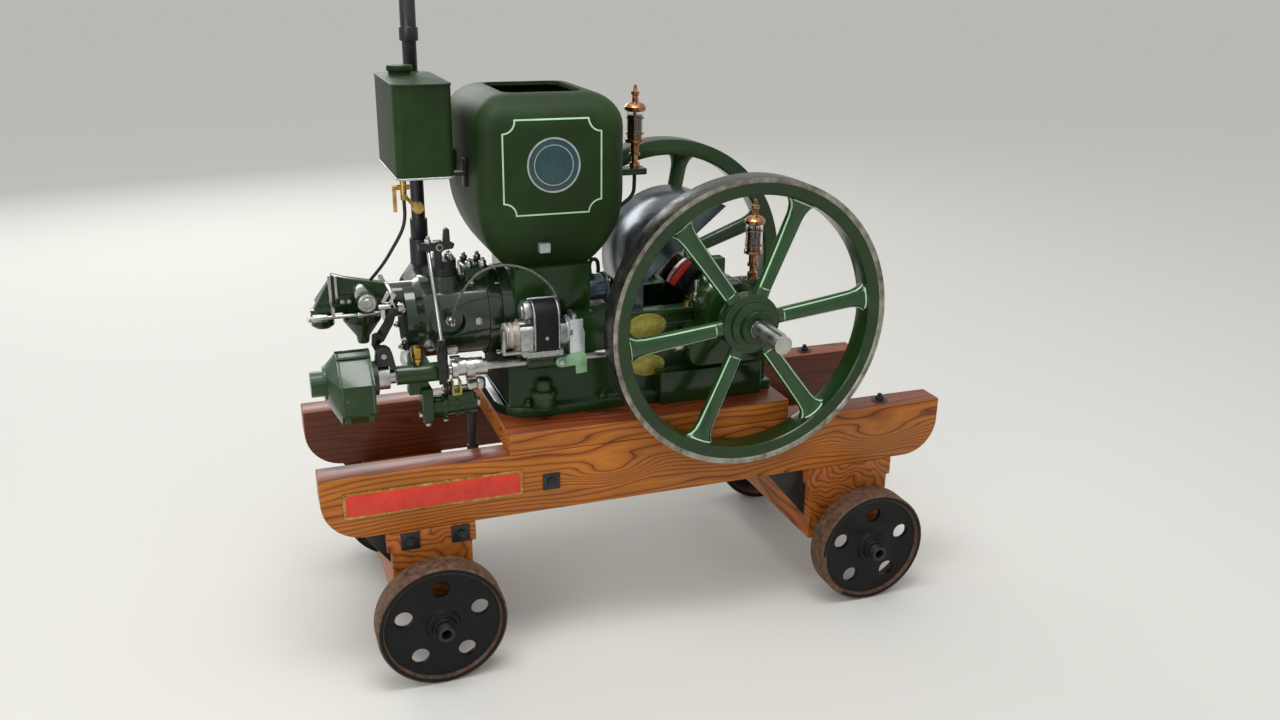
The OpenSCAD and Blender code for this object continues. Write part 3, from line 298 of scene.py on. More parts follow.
def soften(obj, width, angle=32):
    """Rounds the sharp edges of a piece, as a casting or a dressed edge has them."""
    modify(obj, "BEVEL", width=width * MM, segments=2, limit_method="ANGLE",
           angle_limit=math.radians(angle), harden_normals=False)


def freeze(obj):
    """Writes an object's place and scale into its mesh."""
    pick(obj)
    bpy.ops.object.transform_apply(location=True, rotation=True, scale=True)


def settle(obj, name, body, slot, *mats, smooth=32):
    """Puts a modelled piece in its place for good, with its finish and its body."""
    freeze(obj)
    obj.name = name
    obj.data.name = name
    obj.data.materials.clear()
    for mat in mats:
        obj.data.materials.append(mat)
    bpy.ops.object.shade_smooth_by_angle(angle=math.radians(smooth))
    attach(obj, body)
    return obj


def joined(parts):
    bpy.ops.object.select_all(action="DESELECT")
    for part in parts:
        part.select_set(True)
    bpy.context.view_layer.objects.active = parts[0]
    if len(parts) > 1:
        bpy.ops.object.join()
    return bpy.context.view_layer.objects.active


def fitted(name, slot, mat, *parts, body=root, smooth=32):
    """One settled piece made of one or more modelled parts."""
    return settle(joined(parts), name, body, slot, mat, smooth=smooth)


def towards(axis):
    return Vector(axis).to_track_quat("Z", "Y").to_euler()


def rod(a, b, r, r2=None, sides=32, edge=0.8):
    """Turned rod or cone between two points, with broken edges."""
    a, b = Vector(a), Vector(b)
    bpy.ops.object.select_all(action="DESELECT")
    bpy.ops.mesh.primitive_cone_add(vertices=sides, radius1=r * MM, radius2=(r if r2 is None else r2) * MM,
                                    depth=(b - a).length * MM, location=(a + b) * 0.5 * MM,
                                    rotation=towards(b - a))
    obj = bpy.context.active_object
    freeze(obj)
    soften(obj, edge, 40)
    return obj


def coaxial(y, z, *spans):
    """Rods along X on one axis, each given by its two ends, its radius and, if not 0.8, its edge."""
    return [rod((x0, y, z), (x1, y, z), r, edge=edge[0] if edge else 0.8) for x0, x1, r, *edge in spans]


def block(lo, hi, edge=1.2):
    """Planed block between two corners, with broken edges."""
    bpy.ops.object.select_all(action="DESELECT")
    bpy.ops.mesh.primitive_cube_add(size=1.0, location=[(l + h) / 2 * MM for l, h in zip(lo, hi)],
                                    scale=[(h - l) * MM for l, h in zip(lo, hi)])
    obj = bpy.context.active_object
    freeze(obj)
    if edge:
        soften(obj, edge)
    return obj


def from_mesh(name, verts, edges, faces):
    mesh = bpy.data.meshes.new(name)
    mesh.from_pydata(verts, edges, faces)
    obj = bpy.data.objects.new(name, mesh)
    bpy.context.collection.objects.link(obj)
    return obj


def turned(profile, at=(0, 0, 0), axis=(0, 0, 1), steps=48):
    """Piece turned in the lathe from a profile of radius and height, standing on a point."""
    obj = from_mesh("turned", [(r * MM, 0.0, z * MM) for r, z in profile],
                    [(i, i + 1) for i in range(len(profile) - 1)], [])
    modify(obj, "SCREW", steps=steps, render_steps=steps, use_merge_vertices=True, merge_threshold=MERGE,
           use_normal_calculate=True)
    edit(obj, lambda: bpy.ops.mesh.remove_doubles(threshold=MERGE),
         lambda: bpy.ops.mesh.normals_make_consistent(inside=False))
    obj.matrix_world = Matrix.Translation(Vector(at) * MM) @ towards(axis).to_matrix().to_4x4()
    freeze(obj)
    return obj


def collar(r0, r1, z0, z1):
    """Closed square profile of a ring, for turned."""
    return [(r0, z0), (r1, z0), (r1, z1), (r0, z1), (r0, z0)]


def plate(points, y0, y1, edge=1.0):
    """Flat plate with an outline in X and Z, from y0 to y1."""
    obj = from_mesh("plate", [(x * MM, y0 * MM, z * MM) for x, z in points], [], [list(range(len(points)))])
    edit(obj, lambda: bpy.ops.mesh.extrude_region_move(
        TRANSFORM_OT_translate={"value": (0, (y1 - y0) * MM, 0)}),
        lambda: bpy.ops.mesh.select_all(action="SELECT"),
        lambda: bpy.ops.mesh.normals_make_consistent(inside=False))
    soften(obj, edge)
    return obj


def pipe(points, r):
    """Drawn tube or wire bent along points, closed at its ends."""
    curve = bpy.data.curves.new("pipe", "CURVE")
    curve.dimensions = "3D"
    curve.bevel_depth = r * MM
    curve.bevel_resolution = 2
    curve.resolution_u = 6
    curve.use_fill_caps = True
    line = curve.splines.new("BEZIER")
    line.bezier_points.add(len(points) - 1)
    for knot, at in zip(line.bezier_points, points):
        knot.co = Vector(at) * MM
        knot.handle_left_type = knot.handle_right_type = "AUTO"
    obj = bpy.data.objects.new("pipe", curve)
    bpy.context.collection.objects.link(obj)
    pick(obj)
    bpy.ops.object.convert(target="MESH")
    return bpy.context.active_object


def stripe(points, width, node, lift=0.35, closed=True, facing=-1):
    """Painted line of even width laid on a face that looks along Y; points are X and Z."""
    start_y = facing * 600 * MM     # the line is cast from here, outside the engine, on to the face
    pts = [Vector((x, z)) for x, z in points]
    dense = []
    for a, b in zip(pts, pts[1:] + pts[:1] if closed else pts[1:]):
        n = max(1, int((b - a).length / 7))
        dense += [a + (b - a) * (k / n) for k in range(n)]
    if not closed:
        dense.append(pts[-1])
    count = len(dense)
    verts, faces = [], []
    for i, p in enumerate(dense):
        back = dense[(i - 1) % count] if closed or i else p
        ahead = dense[(i + 1) % count] if closed or i < count - 1 else p
        u = (p - back).normalized() if (p - back).length else (ahead - p).normalized()
        v = (ahead - p).normalized() if (ahead - p).length else u
        mid = (u + v).normalized()
        side = Vector((-mid.y, mid.x)) / max(0.4, mid.dot(u))
        for s in (-0.5, 0.0, 0.5):
            q = p + side * (width * s)
            verts.append((q.x * MM, start_y, q.y * MM))
    for i in range(count if closed else count - 1):
        j = (i + 1) % count
        for k in (0, 1):
            face = [3 * i + k, 3 * j + k, 3 * j + k + 1, 3 * i + k + 1]
            faces.append(face if facing < 0 else face[::-1])
    obj = from_mesh("stripe", verts, [], faces)
    modify(obj, "SHRINKWRAP", target=node, wrap_method="PROJECT", use_project_y=True,
           use_negative_direction=facing > 0, use_positive_direction=facing < 0, offset=lift * MM)
    missed = [abs(abs(v.co.y) - abs(start_y)) < 1e-6 for v in obj.data.vertices]
    if any(missed):
        pick(obj)
        obj.data.vertices.foreach_set("select", missed)
        bpy.ops.object.mode_set(mode="EDIT")
        bpy.ops.mesh.delete(type="VERT")
        bpy.ops.object.mode_set(mode="OBJECT")
    return obj


def dressed(node, name, body, slot, mats, edge=1.2, tint=None, smooth=34, extra=(), cuts=()):
    """Stands in for a CAD node: its own form, merged, with softened edges and its finish.

    tint picks the finish of a face from its centre, its normal and its corners, in millimetres.
    """
    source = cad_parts[node]
    obj = bpy.data.objects.new(name, source.data.copy())
    bpy.context.collection.objects.link(obj)
    obj.matrix_world = source.matrix_world
    edit(obj, lambda: bpy.ops.mesh.remove_doubles(threshold=MERGE),
         lambda: bpy.ops.mesh.dissolve_limited(angle_limit=math.radians(1.0)))
    if edge:
        soften(obj, edge)
    for at, normal in cuts:
        edit(obj, lambda: bpy.ops.mesh.bisect(plane_co=Vector(at) * MM, plane_no=normal))
    if extra:
        obj = joined([obj, *extra])
    settle(obj, name, body, slot, *mats, smooth=smooth)
    if tint:
        for face in obj.data.polygons:
            face.material_index = tint(face.center / MM, face.normal,
                                       [obj.data.vertices[v].co / MM for v in face.vertices])
    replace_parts(obj, node)
    return obj


def ring_of(count, r, start=0.0):
    return [(r * math.cos(math.radians(start + 360 * k / count)),
             r * math.sin(math.radians(start + 360 * k / count))) for k in range(count)]


def bolt(at, axis, flats=17.0, high=9.0, stud=0.0, washer=0.0):
    """Hexagon nut or bolt head with a chamfer, a washer and a stud end where it has them."""
    at, axis = Vector(at), Vector(axis).normalized()
    parts = [rod(at, at + axis * high, flats / 2 / math.cos(math.pi / 6), sides=6, edge=1.1)]
    if washer:
        parts.append(rod(at - axis * 0.5, at + axis * 1.6, washer / 2, edge=0.5))
    if stud:
        parts.append(rod(at + axis * (high - 1), at + axis * (high + stud), flats * 0.3, sides=20))
    return joined(parts)


# Trolley

def top_faces(low):
    """Second finish on faces that look up from above a height."""
    return lambda c, n, pts: 1 if n.z > 0.7 and c.z > low else 0


def far_beam_tint(c, n, pts):
    """Weathered on top, and painted shade on the side that the engine shades."""
    if n.z > 0.7 and c.z > 400:
        return 1
    return 2 if n.y < -0.7 else 0


dressed("near_beam", "near_beam_timber", root, "pine", (honey_fir, red_fir), 3.0, top_faces(400))
dressed("far_beam", "far_beam_timber", root, "pine", (honey_fir, red_fir, dark_fir), 3.0, far_beam_tint)
dressed("engine_bearers", "bearer_timbers", root, "red_pine", (honey_fir, red_fir), 3.0, top_faces(540))
for end, _x in AXLES:
    dressed(end + "_bolster", end + "_bolster_timber", root, "red_pine", (brown_fir, red_fir), 3.0,
            top_faces(300))
dressed("axles", "axle_tubes", root, "black_iron", (black_iron,), 1.5)
dressed("axle_irons", "axle_clips_and_stays", root, "black_iron", (black_iron,), 1.2)


def tread_tint(x):
    """Bare iron on the rim of a wheel whose axle is at x, inside its outer face."""
    return lambda c, n, pts: 1 if math.hypot(c.x - x, c.z - AXLE_Z) > 135 and abs(c.y) < 354 else 0


for place, x in AXLES:
    for side in ("near", "far"):
        wheel = "%s_%s_wheel" % (side, place)
        dressed(wheel, wheel + "_casting", wheel, "wheel_iron", (black_enamel, rusty_iron), 1.5,
                tread_tint(x))

WASHER = 4                      # thickness of the square washers
fixings = []
for x, z, wide in ((-275, 435, 42), (-618, 334, 44), (-499, 334, 44), (255, 435, 42)):
    half = wide / 2
    for s in (-1, 1):
        y0, y1 = sorted((s * BEAM_Y, s * (BEAM_Y + WASHER)))
        fixings += [block((x - half, y0, z - half), (x + half, y1, z + half), 1.0),
                    bolt((x, s * (BEAM_Y + WASHER), z), (0, s, 0), 20, 11, 7)]
fixings += [bolt((650, s * 212, 514), (0, 0, 1), 20, 11, 8, 44) for s in (-1, 1)]
fitted("timber_bolts_and_washers", "black_iron", black_iron, *fixings)

# Bare enamelled plate with a brass edge on the near beam
fitted("beam_plate_edge", "brass", yellow_brass, block((-763, -253.5, 412), (-346, -250, 477), 0.8))
fitted("beam_plate_face", "green_paint", red_enamel, block((-757, -255, 418), (-352, -252.5, 471), 0.5))
fitted("beam_plate_screws", "brass", yellow_brass,
       *[bolt((x, -254, z), (0, -1, 0), 7, 2.5) for x in (-756, -353) for z in (419, 470)])


# Bed, block and hopper

def bed_tint(c, n, pts):
    """Painted shade on faces that look forward, and a worn look with a painted sky highlight on the top
    ledges and the foot flange.
    """
    if n.x < -0.8:
        return 2
    return 1 if n.z > 0.9 and (c.z > 740 or c.z < 620) else 0


dressed("engine_bed", "bed_casting", root, "green_paint", (green_enamel, worn_and_sheen_enamel, forward_shade_enamel), 3.0,
        bed_tint)
dressed("oil_box", "oil_box_casting", root, "green_paint", (green_enamel,), 3.0)
dressed("main_bearings", "main_bearing_castings", root, "green_paint", (green_enamel,), 2.0)
# The ring flange at the head end (x below -321) takes the head enamel, whose lighter tone is a painted sheen
casting = dressed("cylinder_block", "cylinder_casting", root, "green_paint", (green_enamel, head_enamel),
                  3.5, lambda c, n, pts: 1 if c.x < -321 else 0)

# The block steps down beside the breather can
step = block((-134, -140, 822), (-70, 140, 960), 0)
modify(casting, "BOOLEAN", operation="DIFFERENCE", object=step, solver="EXACT")
bpy.data.objects.remove(step)
BREATHER = (-88, 862)           # Y and Z of the can's axis
fitted("breather_can", "green_paint", breather_blue,
       *coaxial(*BREATHER, (-140, -84, 32, 2), (-93, -84, 36, 2), (-120, -115, 33.5, 1)))
fitted("breather_pipe", "black_iron", black_iron,
       pipe([(-118, -70, 890), (-118, -66, 914), (-110, -62, 924), (-98, -58, 920), (-93, -56, 904),
             (-93, -56, 888)], 5))

dressed("water_hopper", "hopper_casting", root, "green_paint", (hopper_enamel,), 0, smooth=40)
# Faces of the head that look forward take the dark matt enamel as painted shade
dressed("cylinder_head", "head_casting", root, "green_paint", (head_enamel, forward_shade_enamel), 1.6,
        lambda c, n, pts: 1 if n.x < -0.8 else 0)
dressed("valve_chest", "valve_chest_casting", root, "green_paint", (black_iron,), 1.0)
dressed("gear_case", "gear_case_casting", root, "green_paint", (green_enamel,), 2.5)
dressed("crank_guard", "guard_sheet", root, "green_paint", (guard_sheet,), 0.8, smooth=30)

fitted("bed_holding_bolts", "green_paint", green_enamel,
       *[bolt((x, s * 146, 590), (0, 0, 1), 20, 12, 8) for x in (-300, -110, 90, 300) for s in (-1, 1)])

caps = []
for y in (-110, 110):
    for x in (150, 272):
        caps += [rod((x, y, 812), (x, y, 862), 7), bolt((x, y, 815), (0, 0, 1), 20, 16, 0, 30)]
    caps += [rod((210, y, 866), (210, y, 884), 9, 7), bolt((210, y, 870), (0, 0, 1), 16, 8)]
fitted("bearing_studs", "bright_steel", turned_steel, *caps)

# Drain boss on the near wall of the bed
fitted("bed_drain_boss", "green_paint", green_enamel,
       turned([(0, 0), (33, 0), (33, 5), (29, 7), (29, 27), (33, 29), (33, 41), (30, 44), (21, 46), (21, 64),
               (17, 70), (0, 73)], (-262, -150, 589)))


def oval(x0, x1, z0, z1, inset=0.0):
    """Outline in X and Z of the oval that fills a rectangle, less an inset."""
    return [((x0 + x1) / 2 + (x1 - x0 - inset) / 2 * math.cos(a),
             (z0 + z1) / 2 + (z1 - z0 - inset) / 2 * math.sin(a))
            for a in [math.tau * k / 48 for k in range(48)]]


# Bare oval brass plates on the crankcase, each with a raised line round it
ovals = []
for bounds in ((-43, 59, 731, 796), (-34, 57, 632, 688)):
    outer = plate(oval(*bounds), -138.5, -130, 0.6)
    rim = stripe(oval(*bounds, 9), 1.6, outer, 0.5)
    modify(rim, "SOLIDIFY", thickness=0.8 * MM, offset=1.0)
    ovals += [outer, rim]
fitted("oval_brass_plates", "brass", etched_brass, *ovals)
fitted("oval_plate_screws", "brass", turned_steel,
       *[bolt((x, -138.5, z), (0, -1, 0), 6, 2)
         for x, z in ((-37, 763.5), (53, 763.5), (-28, 660), (51, 660))])


def hollow_panel(x0, x1, z0, z1, r):
    """Outline of a rectangle whose corners are hollow quarter circles."""
    pts = []
    for cx, cz, a0 in ((x1, z1, 270), (x0, z1, 0), (x0, z0, 90), (x1, z0, 180)):
        pts += [(cx + r * math.cos(math.radians(a0 - 90 * k / 5)),
                 cz + r * math.sin(math.radians(a0 - 90 * k / 5))) for k in range(6)]
    return pts


# Hopper: lined panel on both sides, bare roundel with two rings, and a small bright plug
ROUNDEL = (-243, 1184)          # X and Z of its centre
fitted("hopper_lining", "green_paint", lining_enamel,
       *[stripe(hollow_panel(-359, -131, 1073, 1285, 29), 3.6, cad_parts["water_hopper"], facing=f)
         for f in (-1, 1)])
fitted("hopper_bare_roundel", "green_paint", teal_enamel,
       plate([(ROUNDEL[0] + x, ROUNDEL[1] + z) for x, z in ring_of(64, 60)], -196.2, -190, 0.5))
fitted("hopper_roundel_rings", "green_paint", silver_paint,
       *[turned(collar(*size), (ROUNDEL[0], -194.5, ROUNDEL[1]), (0, -1, 0), 72)
         for size in ((58, 62, 0, 2.6), (44, 46, 0, 2.4))])
fitted("hopper_core_plug", "green_paint", silver_paint, block((-276, -186, 981), (-250, -166, 1003), 1.5))

# Nuts round the head, with none on its near side, and those of its cover and of the valve chest
studs = [bolt((-345, y, CRANK[1] + z), (-1, 0, 0), 18, 12, 8) for y, z in ring_of(10, 101, 18)
         if not (y < -40 and abs(z) < 80)]
studs += [bolt((-570, y, CRANK[1] + z), (-1, 0, 0), 15, 9, 5) for y, z in ring_of(6, 74, 30)]
fitted("head_nuts", "bright_steel", turned_steel, *studs)
fitted("chest_nuts", "bright_steel", turned_steel,
       *[bolt((-472 + x, -36 + y, 946), (0, 0, 1), 15, 12, 5) for x, y in ring_of(4, 21, 45)])
cover = joined([block((-425, -46, 880), (-362, 46, 922), 6),
                *[bolt((x, y, 922), (0, 0, 1), 17, 13, 7) for x in (-410, -377) for y in (-32, 32)],
                bolt((-406, -99, 808), (0, -1, 0), 18, 12, 4),
                bolt((-409, -52, 886), (0, -0.6, 0.8), 15, 9, 4)])
settle(cover, "head_cover_and_nuts", root, "bright_steel", green_enamel, turned_steel)
for face in cover.data.polygons:        # the cover is painted, its nuts are bright
    face.material_index = 1 if face.center.z > 922.5 * MM or face.center.y < -54 * MM else 0
fitted("rocker_adjuster_and_pin", "bright_steel", turned_steel,
       bolt((-518, -108, 1004), (0, 0, 1), 14, 9, 7), rod((-494, -122, 996), (-494, -94, 996), 8))
fitted("head_cock_plug", "bright_steel", turned_steel,
       rod((-524, -94, 761), (-524, -112, 761), 15), rod((-524, -110, 761), (-524, -120, 761), 11, sides=6))
fitted("breather_screws", "bright_steel", turned_steel,
       *[bolt((-83, BREATHER[0] + y, BREATHER[1] + z), (1, 0, 0), 9, 4) for y, z in ring_of(4, 27, 45)])


# Tank, exhaust and pipes

def fuel_line_tint(c, n, pts):
    """Black on the pipe below the taps."""
    return 1 if c.z < 1108 and math.hypot(c.x + 568, c.y + 120) > 1 and c.y > -140 else 0


dressed("fuel_tank", "tank_sheet", root, "green_paint", (hopper_enamel,), 0, smooth=40)
dressed("tank_top", "tank_top_sheet", root, "green_paint", (hopper_enamel,), 1.5)
dressed("tank_floor", "tank_floor_lip", root, "green_paint", (silver_paint,), 1.5)
dressed("tank_bracket", "tank_bracket_irons", root, "black_iron", (black_iron,), 1.0)
dressed("exhaust_elbow", "exhaust_elbow_casting", root, "black_iron", (black_iron,), 1.5, smooth=40)
dressed("exhaust_pipe", "exhaust_tube", root, "black_iron", (black_iron,), 1.0)
dressed("fuel_line", "fuel_taps_and_pipe", root, "brass", (yellow_brass, black_iron), 0.6, fuel_line_tint)


# Intake and governor

def governor_tint(c, n, pts):
    """Bright on the end towards the engine, and worn with a painted sky highlight on the upper faces."""
    if c.x > -661:
        return 1
    return 2 if n.z > 0.5 and n.y < 0 else 0


dressed("intake_hood", "intake_casting", root, "green_paint", (green_enamel,), 3.0)
dressed("mixer_bowl", "mixer_bowl_casting", root, "green_paint", (green_enamel,), 2.0, smooth=40)
dressed("governor_housing", "governor_casting", root, "green_paint",
        (green_enamel, turned_steel, worn_and_sheen_enamel), 3.5, governor_tint, smooth=30)
corners = (-679, -745)
fitted("governor_cover_bead", "green_paint", worn_and_sheen_enamel,
       *[rod((x, -264, 668), (x, -264, 735), 2.4) for x in corners],
       *[rod((x, -264, 735), (x, -195, 790), 2.4) for x in corners],
       rod((-679, -195, 790), (-679, -174, 790), 2.4))
fitted("governor_cover_vent", "black_iron", black_iron,
       stripe([(-741, 781), (-686, 781)], 7.5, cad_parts["governor_housing"], 0.5, closed=False))
THROTTLE = (-112, 851)          # Y and Z of the throttle rod
fitted("throttle_rods_and_clevis", "bright_steel", turned_steel,
       *coaxial(*THROTTLE, (-790, -684, 4.5), (-784, -752, 8.5), (-685, -634, 6.5)),
       block((-742, -116, 851), (-735, -62.3, 872), 1), block((-742, -70, 853), (-735, -62.3, 936), 1),
       block((-728, -70, 880), (-722, -62.3, 934), 1), *coaxial(*THROTTLE, (-795, -788, 7.5, 2)),
       bolt((-713, -70, 873), (0, -1, 0), 11, 7), bolt((-698, -70, 873), (0, -1, 0), 11, 7),
       rod((-673, -64, 897), (-673, -106, 897), 16, edge=2), rod((-643, -157, 878), (-617, -157, 878), 6),
       block((-628, -160, 882), (-609, -152, 888), 1),
       plate([(-637, 890), (-631, 886), (-616, 909), (-622, 914)], -160, -152, 1),
       plate([(-623, 886), (-617, 882), (-602, 905), (-608, 909)], -160, -152, 1),
       rod((-612, -163, 906), (-612, -62, 906), 5), bolt((-645, -203, 778), (0, -1, 0), 12, 6, 3),
       rod((-587, -76, 858), (-587, -100, 858), 6), block((-595, -112, 850), (-579, -98, 866), 2))
links = fitted("governor_links", "black_iron", oily_iron,
               plate([(-618, 874), (-602, 870), (-613, 836), (-636, 797), (-656, 786), (-666, 790),
                      (-661, 803), (-634, 842)], -159, -150, 3),
               plate([(-664, 820), (-652, 824), (-637, 814), (-640, 800), (-652, 808), (-656, 796),
                      (-648, 782), (-656, 772), (-666, 796)], -176, -164, 3),
               rod((-604, -152, 862), (-604, -62.3, 862), 6), rod((-652, -176, 790), (-652, -112, 790), 6))
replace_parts(links, "governor_linkage")
fitted("governor_pivot_saddle", "black_iron", black_iron,
       plate([(-664, 752), (-660, 786), (-650, 796), (-636, 795), (-626, 786), (-617, 742), (-631, 741),
              (-633, 752)], -203, -172, 3))
fitted("throttle_boss_flange", "green_paint", green_enamel, block((-723, -70, 860), (-684, -61, 887), 4))
# Its top faces take the greyer worn enamel as a painted highlight
dressed("front_shaft_bearing", "front_bearing_casting", root, "green_paint", (green_enamel, worn_and_sheen_enamel),
        1.5, lambda c, n, pts: 1 if n.z > 0.8 else 0)


# Oil pump, valve gear and ignition

PUMP = (-148, 622)              # Y and Z of the pump's barrel
pump = fitted("oil_pump_casting", "green_paint", green_enamel,
              block((-560, -178, 590), (-534, -118, 676), 5),
              block((-588, -164, 660), (-542, -126, 711.5), 4),
              *coaxial(*PUMP, (-536, -430, 24, 2), (-512, -500, 29, 2), (-482, -474, 27, 2)),
              block((-500, -166, 636), (-436, -132, 656), 3), block((-552, -130, 582), (-480, -112, 640), 3))
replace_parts(pump, "oil_pump")
fitted("oil_pump_drain", "black_iron", black_iron,
       rod((-436, -120, 440), (-436, -120, 600), 11), rod((-436, -120, 486), (-436, -120, 500), 15, sides=6),
       *coaxial(-160, 668, (-506, -503, 17), (-500, -497, 17), (-494, -491, 17)),
       block((-481, -140, 590), (-428, -108, 598), 2))
fitted("oil_pump_fittings", "bright_steel", turned_steel,
       rod((-512, -160, 668), (-452, -160, 668), 5), rod((-452, -160, 670), (-430, -160, 670), 13, edge=2),
       rod((-447, -160, 670), (-441, -160, 670), 15, sides=6),
       rod((-419, -150, 652), (-419, -150, 684), 14, edge=9),
       rod((-430, -148, 622), (-421, -148, 622), 12, sides=6), bolt((-560, -168, 612), (-1, 0, 0), 12, 8),
       bolt((-548, -168, 590), (0, 0, -1), 12, 8), bolt((-506, -166, 594), (0, 0, -1), 11, 5),
       block((-495, -160, 749), (-469, -140, 767), 2), block((-488, -158, 737), (-464, -142, 741), 1))
fitted("oil_pump_fork", "brass", etched_brass,
       block((-490, -178, 656), (-485, -150, 688), 1.5), block((-472, -178, 656), (-467, -150, 688), 1.5),
       block((-490, -178, 654), (-467, -150, 660), 1.5))


def pushrod_tint(c, n, pts):
    """Dark iron on the cam lever at the foot of the bright rod."""
    return 1 if c.z <= 804 and abs(c.x + 516) < 14 and c.y > -230 else 0


def lead_tint(c, n, pts):
    """Bright steel on the plug, braid on the lead."""
    return 1 if c.y > -122 and c.z < 830 and abs(c.x + 470) < 16 else 0


def magneto_tint(c, n, pts):
    """Black magnets between bare ends, the tan cap in front and the painted drive end behind."""
    if c.x < -334 or (c.x < -322 and 760 < c.z < 830 and n.x < -0.5):
        return 2
    if -306 < c.x < -240 and c.z > 760:
        return 0 if abs(n.x) > 0.7 else 1
    return 3 if c.x > -197 else 0


dressed("magneto_table", "magneto_table_casting", root, "green_paint", (green_enamel,), 1.5)
dressed("rocker_arm", "rocker_forging", root, "black_iron", (black_iron,), 1.2)
dressed("valve_pushrod", "pushrod_and_lever", root, "bright_steel", (turned_steel, oily_iron), 0.8,
        pushrod_tint)
dressed("side_shaft", "side_shaft_bar", "cam_shaft", "bright_steel", (turned_steel,), 1.0)
dressed("ignition_lead", "ignition_plug_and_lead", root, "dark_cord", (lacquered_braid, turned_steel), 0,
        lead_tint, smooth=40)
dressed("magneto", "magneto_body", root, "bright_steel",
        (cast_aluminium, black_enamel, tan_resin, green_enamel), 1.5, magneto_tint)
fitted("magneto_fittings", "bright_steel", cast_aluminium,
       *coaxial(-185, 846, (-322, -304, 27, 3), (-327, -321, 17)),
       block((-377, -223, 757), (-371, -207, 815), 1.2), block((-377, -223, 755), (-330, -211, 761), 1.2),
       *[pipe([(x, -228, 762), (x, -228, 832), (x, -224.5, 849), (x, -215.5, 863), (x, -201, 872.5),
               (x, -182, 875.5)], 2.4) for x in (-302, -244)],
       bolt((-274, -228, 790), (0, -1, 0), 9, 4), rod((-310, -185, 875), (-240, -185, 875), 3),
       block((-336, -229, 762), (-306, -222, 812), 3), block((-322, -228, 744), (-234, -222, 758), 2),
       *[turned([(29.5, 0), (31.5, 1), (31.5, 4), (29.5, 5), (29.5, 0)], (x, -185, 791), (1, 0, 0))
         for x in (-362, -349)])
fitted("magneto_coupling", "bright_steel", bright_zinc,
       *coaxial(-185, 790, (-243, -213, 30, 3), (-232, -224, 32)),
       plate([(-213, 722), (-176, 722), (-176, 790), (-180, 800), (-180, 822), (-213, 822)], -209, -204),
       block((-213, -209, 722), (-207, -160, 822), 2))
fitted("advance_lever", "green_paint", pale_lever_green,
       plate([(-249, 722), (-245, 732), (-235, 736), (-178, 740), (-172, 730), (-172, 690), (-199, 688),
              (-200, 710), (-235, 708), (-245, 712)], -214, -207, 1.5))
fitted("advance_lever_pin", "bright_steel", turned_steel,
       bolt((-235, -214, 722), (0, -1, 0), 13, 6, 3), rod((-235, -208, 722), (-235, -196.5, 722), 7))
fitted("magneto_strap_screws", "bright_steel", turned_steel,
       *[bolt((x, -224, 754), (0, -1, 0), 9, 4) for x in (-318, -283, -248)])


# Crank and flywheels

THROW = Vector((math.cos(math.radians(140)), 0.0, math.sin(math.radians(140))))
RED_END = 96                    # distance from the shaft at which the red end of the near web begins


def crank_tint(c, n, pts):
    """Bright journals and crank pin, a red end on the near web, dark iron on the rest of the webs."""
    out = c - Vector((CRANK[0], c.y, CRANK[1]))
    if abs(c.y) > 51.2 or (abs(c.y) < 20.8 and out.length < 100):
        return 0
    return 1 if out.dot(THROW) > RED_END and c.y < 0 else 2


dressed("crankshaft", "crankshaft_forging", "crank", "bright_steel", (turned_steel, red_enamel, oily_iron),
        1.2, crank_tint, cuts=[(Vector((CRANK[0], 0, CRANK[1])) + THROW * RED_END, THROW)])
dressed("belt_pulley", "pulley_casting", "crank", "black_iron", (black_enamel,), 1.5)


def polar(turn, r, across):
    """X and Z of a point on a spoke, from its angle, its radius and its distance beside the middle."""
    a = math.radians(turn)
    return (CRANK[0] + r * math.cos(a) - across * math.sin(a),
            CRANK[1] + r * math.sin(a) + across * math.cos(a))


def spoke_foot(turn, wheel_y):
    """Flare where a spoke runs into the rim."""
    d = Vector((math.cos(math.radians(turn)), 0, math.sin(math.radians(turn))))
    foot = turned([(0, 250), (20.5, 252), (21.5, 268), (23.5, 284), (28, 298), (35, 308), (45, 316),
                   (0, 318)], (CRANK[0], wheel_y, CRANK[1]), d, 32)
    hub = (CRANK[0] * MM, wheel_y * MM, CRANK[1] * MM)
    edit(foot, lambda: bpy.ops.transform.resize(value=(1, 0.66, 1), orient_type="GLOBAL",
                                                center_override=hub))
    return foot


def flywheel_tint(c, n, pts):
    """Dark tread, bare rim, and spokes apart from the painted hub and the inside of the rim."""
    inner = min(math.hypot(p.x - CRANK[0], p.z - CRANK[1]) for p in pts)
    if inner > 351 and abs(n.y) < 0.3:
        return 3
    if inner > 342.5:
        return 1
    r = math.hypot(c.x - CRANK[0], c.z - CRANK[1])
    return 2 if 76 < r < 312 and abs(abs(c.y) - FLYWHEEL_Y) < 27 else 0


# Radius and half width of the line painted round a spoke
SPOKE_LINE = ((90, 15.0), (200, 16.5), (270, 18.5), (290, 21.5), (302, 27.5), (309, 34))
# The near spokes take the brighter enamel as painted light, the far ones the darker enamel as painted shade
for side, s, start, spokes in (("near", -1, 7.0, spoke_enamel), ("far", 1, 20.0, green_enamel)):
    turns = [start + 60 * k for k in range(6)]
    casting = dressed(side + "_flywheel", side + "_flywheel_casting", "crank", "green_paint",
                      (green_enamel, rim_iron, spokes, tread_iron), 1.6, flywheel_tint, smooth=38,
                      extra=[spoke_foot(a, s * FLYWHEEL_Y) for a in turns])
    fitted(side + "_flywheel_lining", "green_paint", lining_enamel,
           *[stripe([polar(a, r, w) for r, w in SPOKE_LINE] + [polar(a, r, -w) for r, w in SPOKE_LINE[::-1]],
                    2.6, casting, 0.4, facing=s) for a in turns], body="crank", smooth=60)

fitted("shaft_key", "bright_steel", turned_steel, block((204, -476, 821), (216, -360, 826.5), 0.8),
       body="crank")


# Oilers

